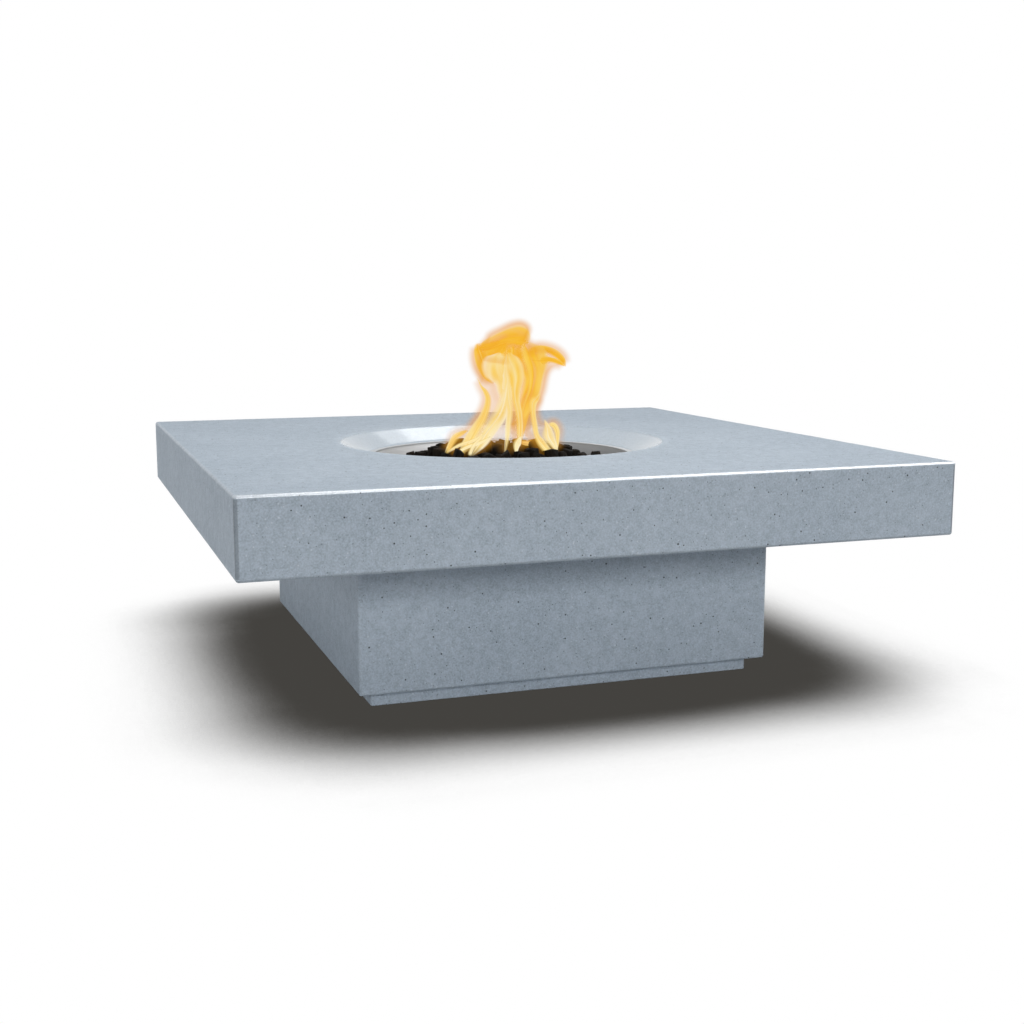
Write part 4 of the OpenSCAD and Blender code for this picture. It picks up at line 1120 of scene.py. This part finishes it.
def make_glow_form(name, sheets):
    """A closed tube around each sheet, as one skin."""
    points, faces = [], []
    for sheet in sheets:
        first = len(points)
        for place, half, side, deep in flame_places(sheet):
            points += hoop(place, half + GLOW, GLOW_SIDES, side, deep)
        faces += tube_faces((len(points) - first) // GLOW_SIDES, GLOW_SIDES, first)
    form = put_in_scene(name, closed_mesh(name, points, faces), lava)
    union = form.modifiers.new("one skin", "REMESH")
    union.mode = "VOXEL"
    union.voxel_size = 0.004
    form.hide_render = True
    sinks_with_valve(form)
    return form


def make_glow_gas():
    """Thin glowing gas, densest just outside the flame and clear within it.

    The depth runs from 0 at the form's skin to 1 at the flame.
    """
    s = Shader("flame_glow")
    depth = s.add("ShaderNodeVolumeInfo").outputs["Density"]
    density = s.math("MULTIPLY", s.math("POWER", depth, 1.5),
                     s.spread(depth, 0.86, 1.0, GLOW_DENSITY, 0.0))
    density = s.math("MULTIPLY", density, s.spread(s.height(), 0.390, 0.450, 0.25, 1.0))
    colour = s.mix(depth, rgb(0.72, 0.32, 0.03), rgb(0.86, 0.37, 0.02))
    black = {"Color": rgb(0.0, 0.0, 0.0), "Density": density}
    dark = s.add("ShaderNodeVolumeAbsorption", black).outputs[0]
    light = s.add("ShaderNodeEmission", {"Color": colour, "Strength": density}).outputs[0]
    return s.show(s.add("ShaderNodeAddShader", {0: dark, 1: light}).outputs[0], "Volume")


# Colours of the fire: its dark parts, its body and its rim
FIRES = (
    ("amber", AMBER_SHEETS, rgb(0.92, 0.42, 0.02), rgb(1.0, 0.62, 0.05), rgb(1.0, 0.76, 0.20)),
    ("yellow", YELLOW_SHEETS, rgb(1.0, 0.60, 0.05), rgb(1.0, 0.80, 0.26), rgb(1.0, 0.90, 0.50)),
    ("light", LIGHT_SHEETS, rgb(1.0, 0.74, 0.20), rgb(1.0, 0.90, 0.50), rgb(1.0, 0.96, 0.76)),
)


def make_flame():
    for name, sheets, *colours in FIRES:
        make_sheets(f"{name}_flame", sheets, make_sheet_fire(f"{name}_fire", *colours))
    glow = put_in_scene("flame_glow", bpy.data.volumes.new("flame_glow"), make_glow_gas())
    fill = glow.modifiers.new("gas", "MESH_TO_VOLUME")
    fill.object = make_glow_form("glow_form", AMBER_SHEETS + YELLOW_SHEETS + LIGHT_SHEETS)
    fill.resolution_mode = "VOXEL_SIZE"
    fill.voxel_size = 0.003
    fill.interior_band_width = GLOW
    fill.density = 1.0
    glow.visible_shadow = False
    glow.visible_glossy = False


# Floor, light and background
FLOOR_HALF = 30.0
FLOOR_DROP = 0.0002
FLOOR_WHITE = rgb(0.94, 0.94, 0.94)

# The floor's shadow: its reach and lean, the share of open sky at both ends, and its tones
SHADOW_REACH = 0.45
SHADOW_LEAN = (-0.10, 0.18, 1.0)
SHADOW_FULL, SHADOW_GONE = 0.68, 0.97
SHADOW_DEEP = rgb(0.058, 0.055, 0.050)
SHADOW_NONE = rgb(1.0, 1.0, 1.0)


def make_floor():
    """A pale floor. The view sees it white, but for the shadow around and under the table."""
    s = Shader("floor")
    lean = s.add("ShaderNodeVectorMath", {0: s.place, 1: SHADOW_LEAN}, operation="ADD").outputs[0]
    way = s.add("ShaderNodeVectorMath", {0: lean}, operation="NORMALIZE").outputs[0]
    reach = {"Distance": SHADOW_REACH, "Normal": way}
    open_sky = s.add("ShaderNodeAmbientOcclusion", reach, samples=64)
    level = s.math("POWER", s.spread(open_sky.outputs["AO"], SHADOW_FULL, SHADOW_GONE), 2.0)
    white = s.add("ShaderNodeEmission", {"Color": s.mix(level, SHADOW_DEEP, SHADOW_NONE)}).outputs[0]
    diffuse = s.add("ShaderNodeBsdfDiffuse", {"Color": FLOOR_WHITE}).outputs[0]
    both = s.add("ShaderNodeMixShader", {0: s.seen(), 1: diffuse, 2: white}).outputs[0]
    mesh = bpy.data.meshes.new("floor")
    signs = [(-1, -1), (1, -1), (1, 1), (-1, 1)]
    mesh.from_pydata([(x * FLOOR_HALF, y * FLOOR_HALF, 0) for x, y in signs], [], [(0, 1, 2, 3)])
    floor = put_in_scene("floor", mesh, s.show(both))
    floor.location.z = -FLOOR_DROP


WORLD_FILL = 0.07


def make_world():
    """A background that is white to the view and in mirrors, and gives only a little light."""
    world = bpy.data.worlds.new("world")
    scene.world = world
    s = Nodes(world)
    back = s.tree.nodes["Background"].inputs
    s.put(back["Color"], rgb(1.0, 1.0, 1.0))
    s.put(back["Strength"], s.spread(s.seen(), 0.0, 1.0, WORLD_FILL, 1.0))


def add_panel(name, place, target, size, radiance, diffuse=True, glossy=True):
    """A rectangular studio lamp, aimed at a point."""
    lamp = bpy.data.lights.new(name, "AREA")
    lamp.shape = "RECTANGLE"
    lamp.size, lamp.size_y = size
    lamp.energy = radiance * math.pi * size[0] * size[1]
    holder = bpy.data.objects.new(name, lamp)
    holder.location = place
    way = Vector(target) - Vector(place)
    holder.rotation_euler = way.to_track_quat("-Z", "Y").to_euler()
    holder.visible_diffuse = diffuse
    holder.visible_glossy = glossy
    scene.collection.objects.link(holder)


# What the lamps are aimed at
BOWL = (0.0, 0.0, TABLE_H)
BODY = (0.0, 0.0, 0.25)

# Panels behind the table: azimuth from +X and elevation, both seen from the bowl, and radiance
REAR_PANELS = ((60, 38, 1.2), (58, 48, 3.6), (60, 58, 3.6), (77, 62, 3.6))
REAR_SIZE = (0.46, 0.52)
REAR_DISTANCE = 2.8


def make_lamps():
    """Soft lamps from above, the front, the left and the rear, and panels that shine in the bowl."""
    add_panel("strip", (1.1, -0.4, 2.7), (1.1, -0.4, 0.0), (3.0, 0.45), 3.0, glossy=False)
    add_panel("sheen", (1.9, -0.9, 2.6), (1.9, -0.9, 0.0), (4.2, 2.2), 3.0, diffuse=False)
    add_panel("front_sheen", (1.9, -2.2, 2.3), (0.4, -0.6, 0.4), (4.2, 1.8), 3.5, diffuse=False)
    add_panel("overhead", (-0.3, -0.2, 2.8), (-0.3, -0.2, 0.0), (1.2, 1.2), 5.5, glossy=False)
    add_panel("front", (0.8, -7.0, 2.6), BODY, (4.9, 1.5), 8.1)
    add_panel("left", (-3.4, -0.8, 1.2), BODY, (1.8, 1.2), 2.2, glossy=False)
    add_panel("rear", (-2.2, 3.2, 1.3), BODY, (2.4, 1.0), 3.2, glossy=False)
    for i, (azimuth, elevation, radiance) in enumerate(REAR_PANELS):
        a, e = math.radians(azimuth), math.radians(elevation)
        way = Vector((math.cos(a) * math.cos(e), math.sin(a) * math.cos(e), math.sin(e)))
        add_panel(f"bowl_{i}", Vector(BOWL) + way * REAR_DISTANCE, BOWL, REAR_SIZE, radiance)


make_flame()
make_floor()
make_world()
make_lamps()
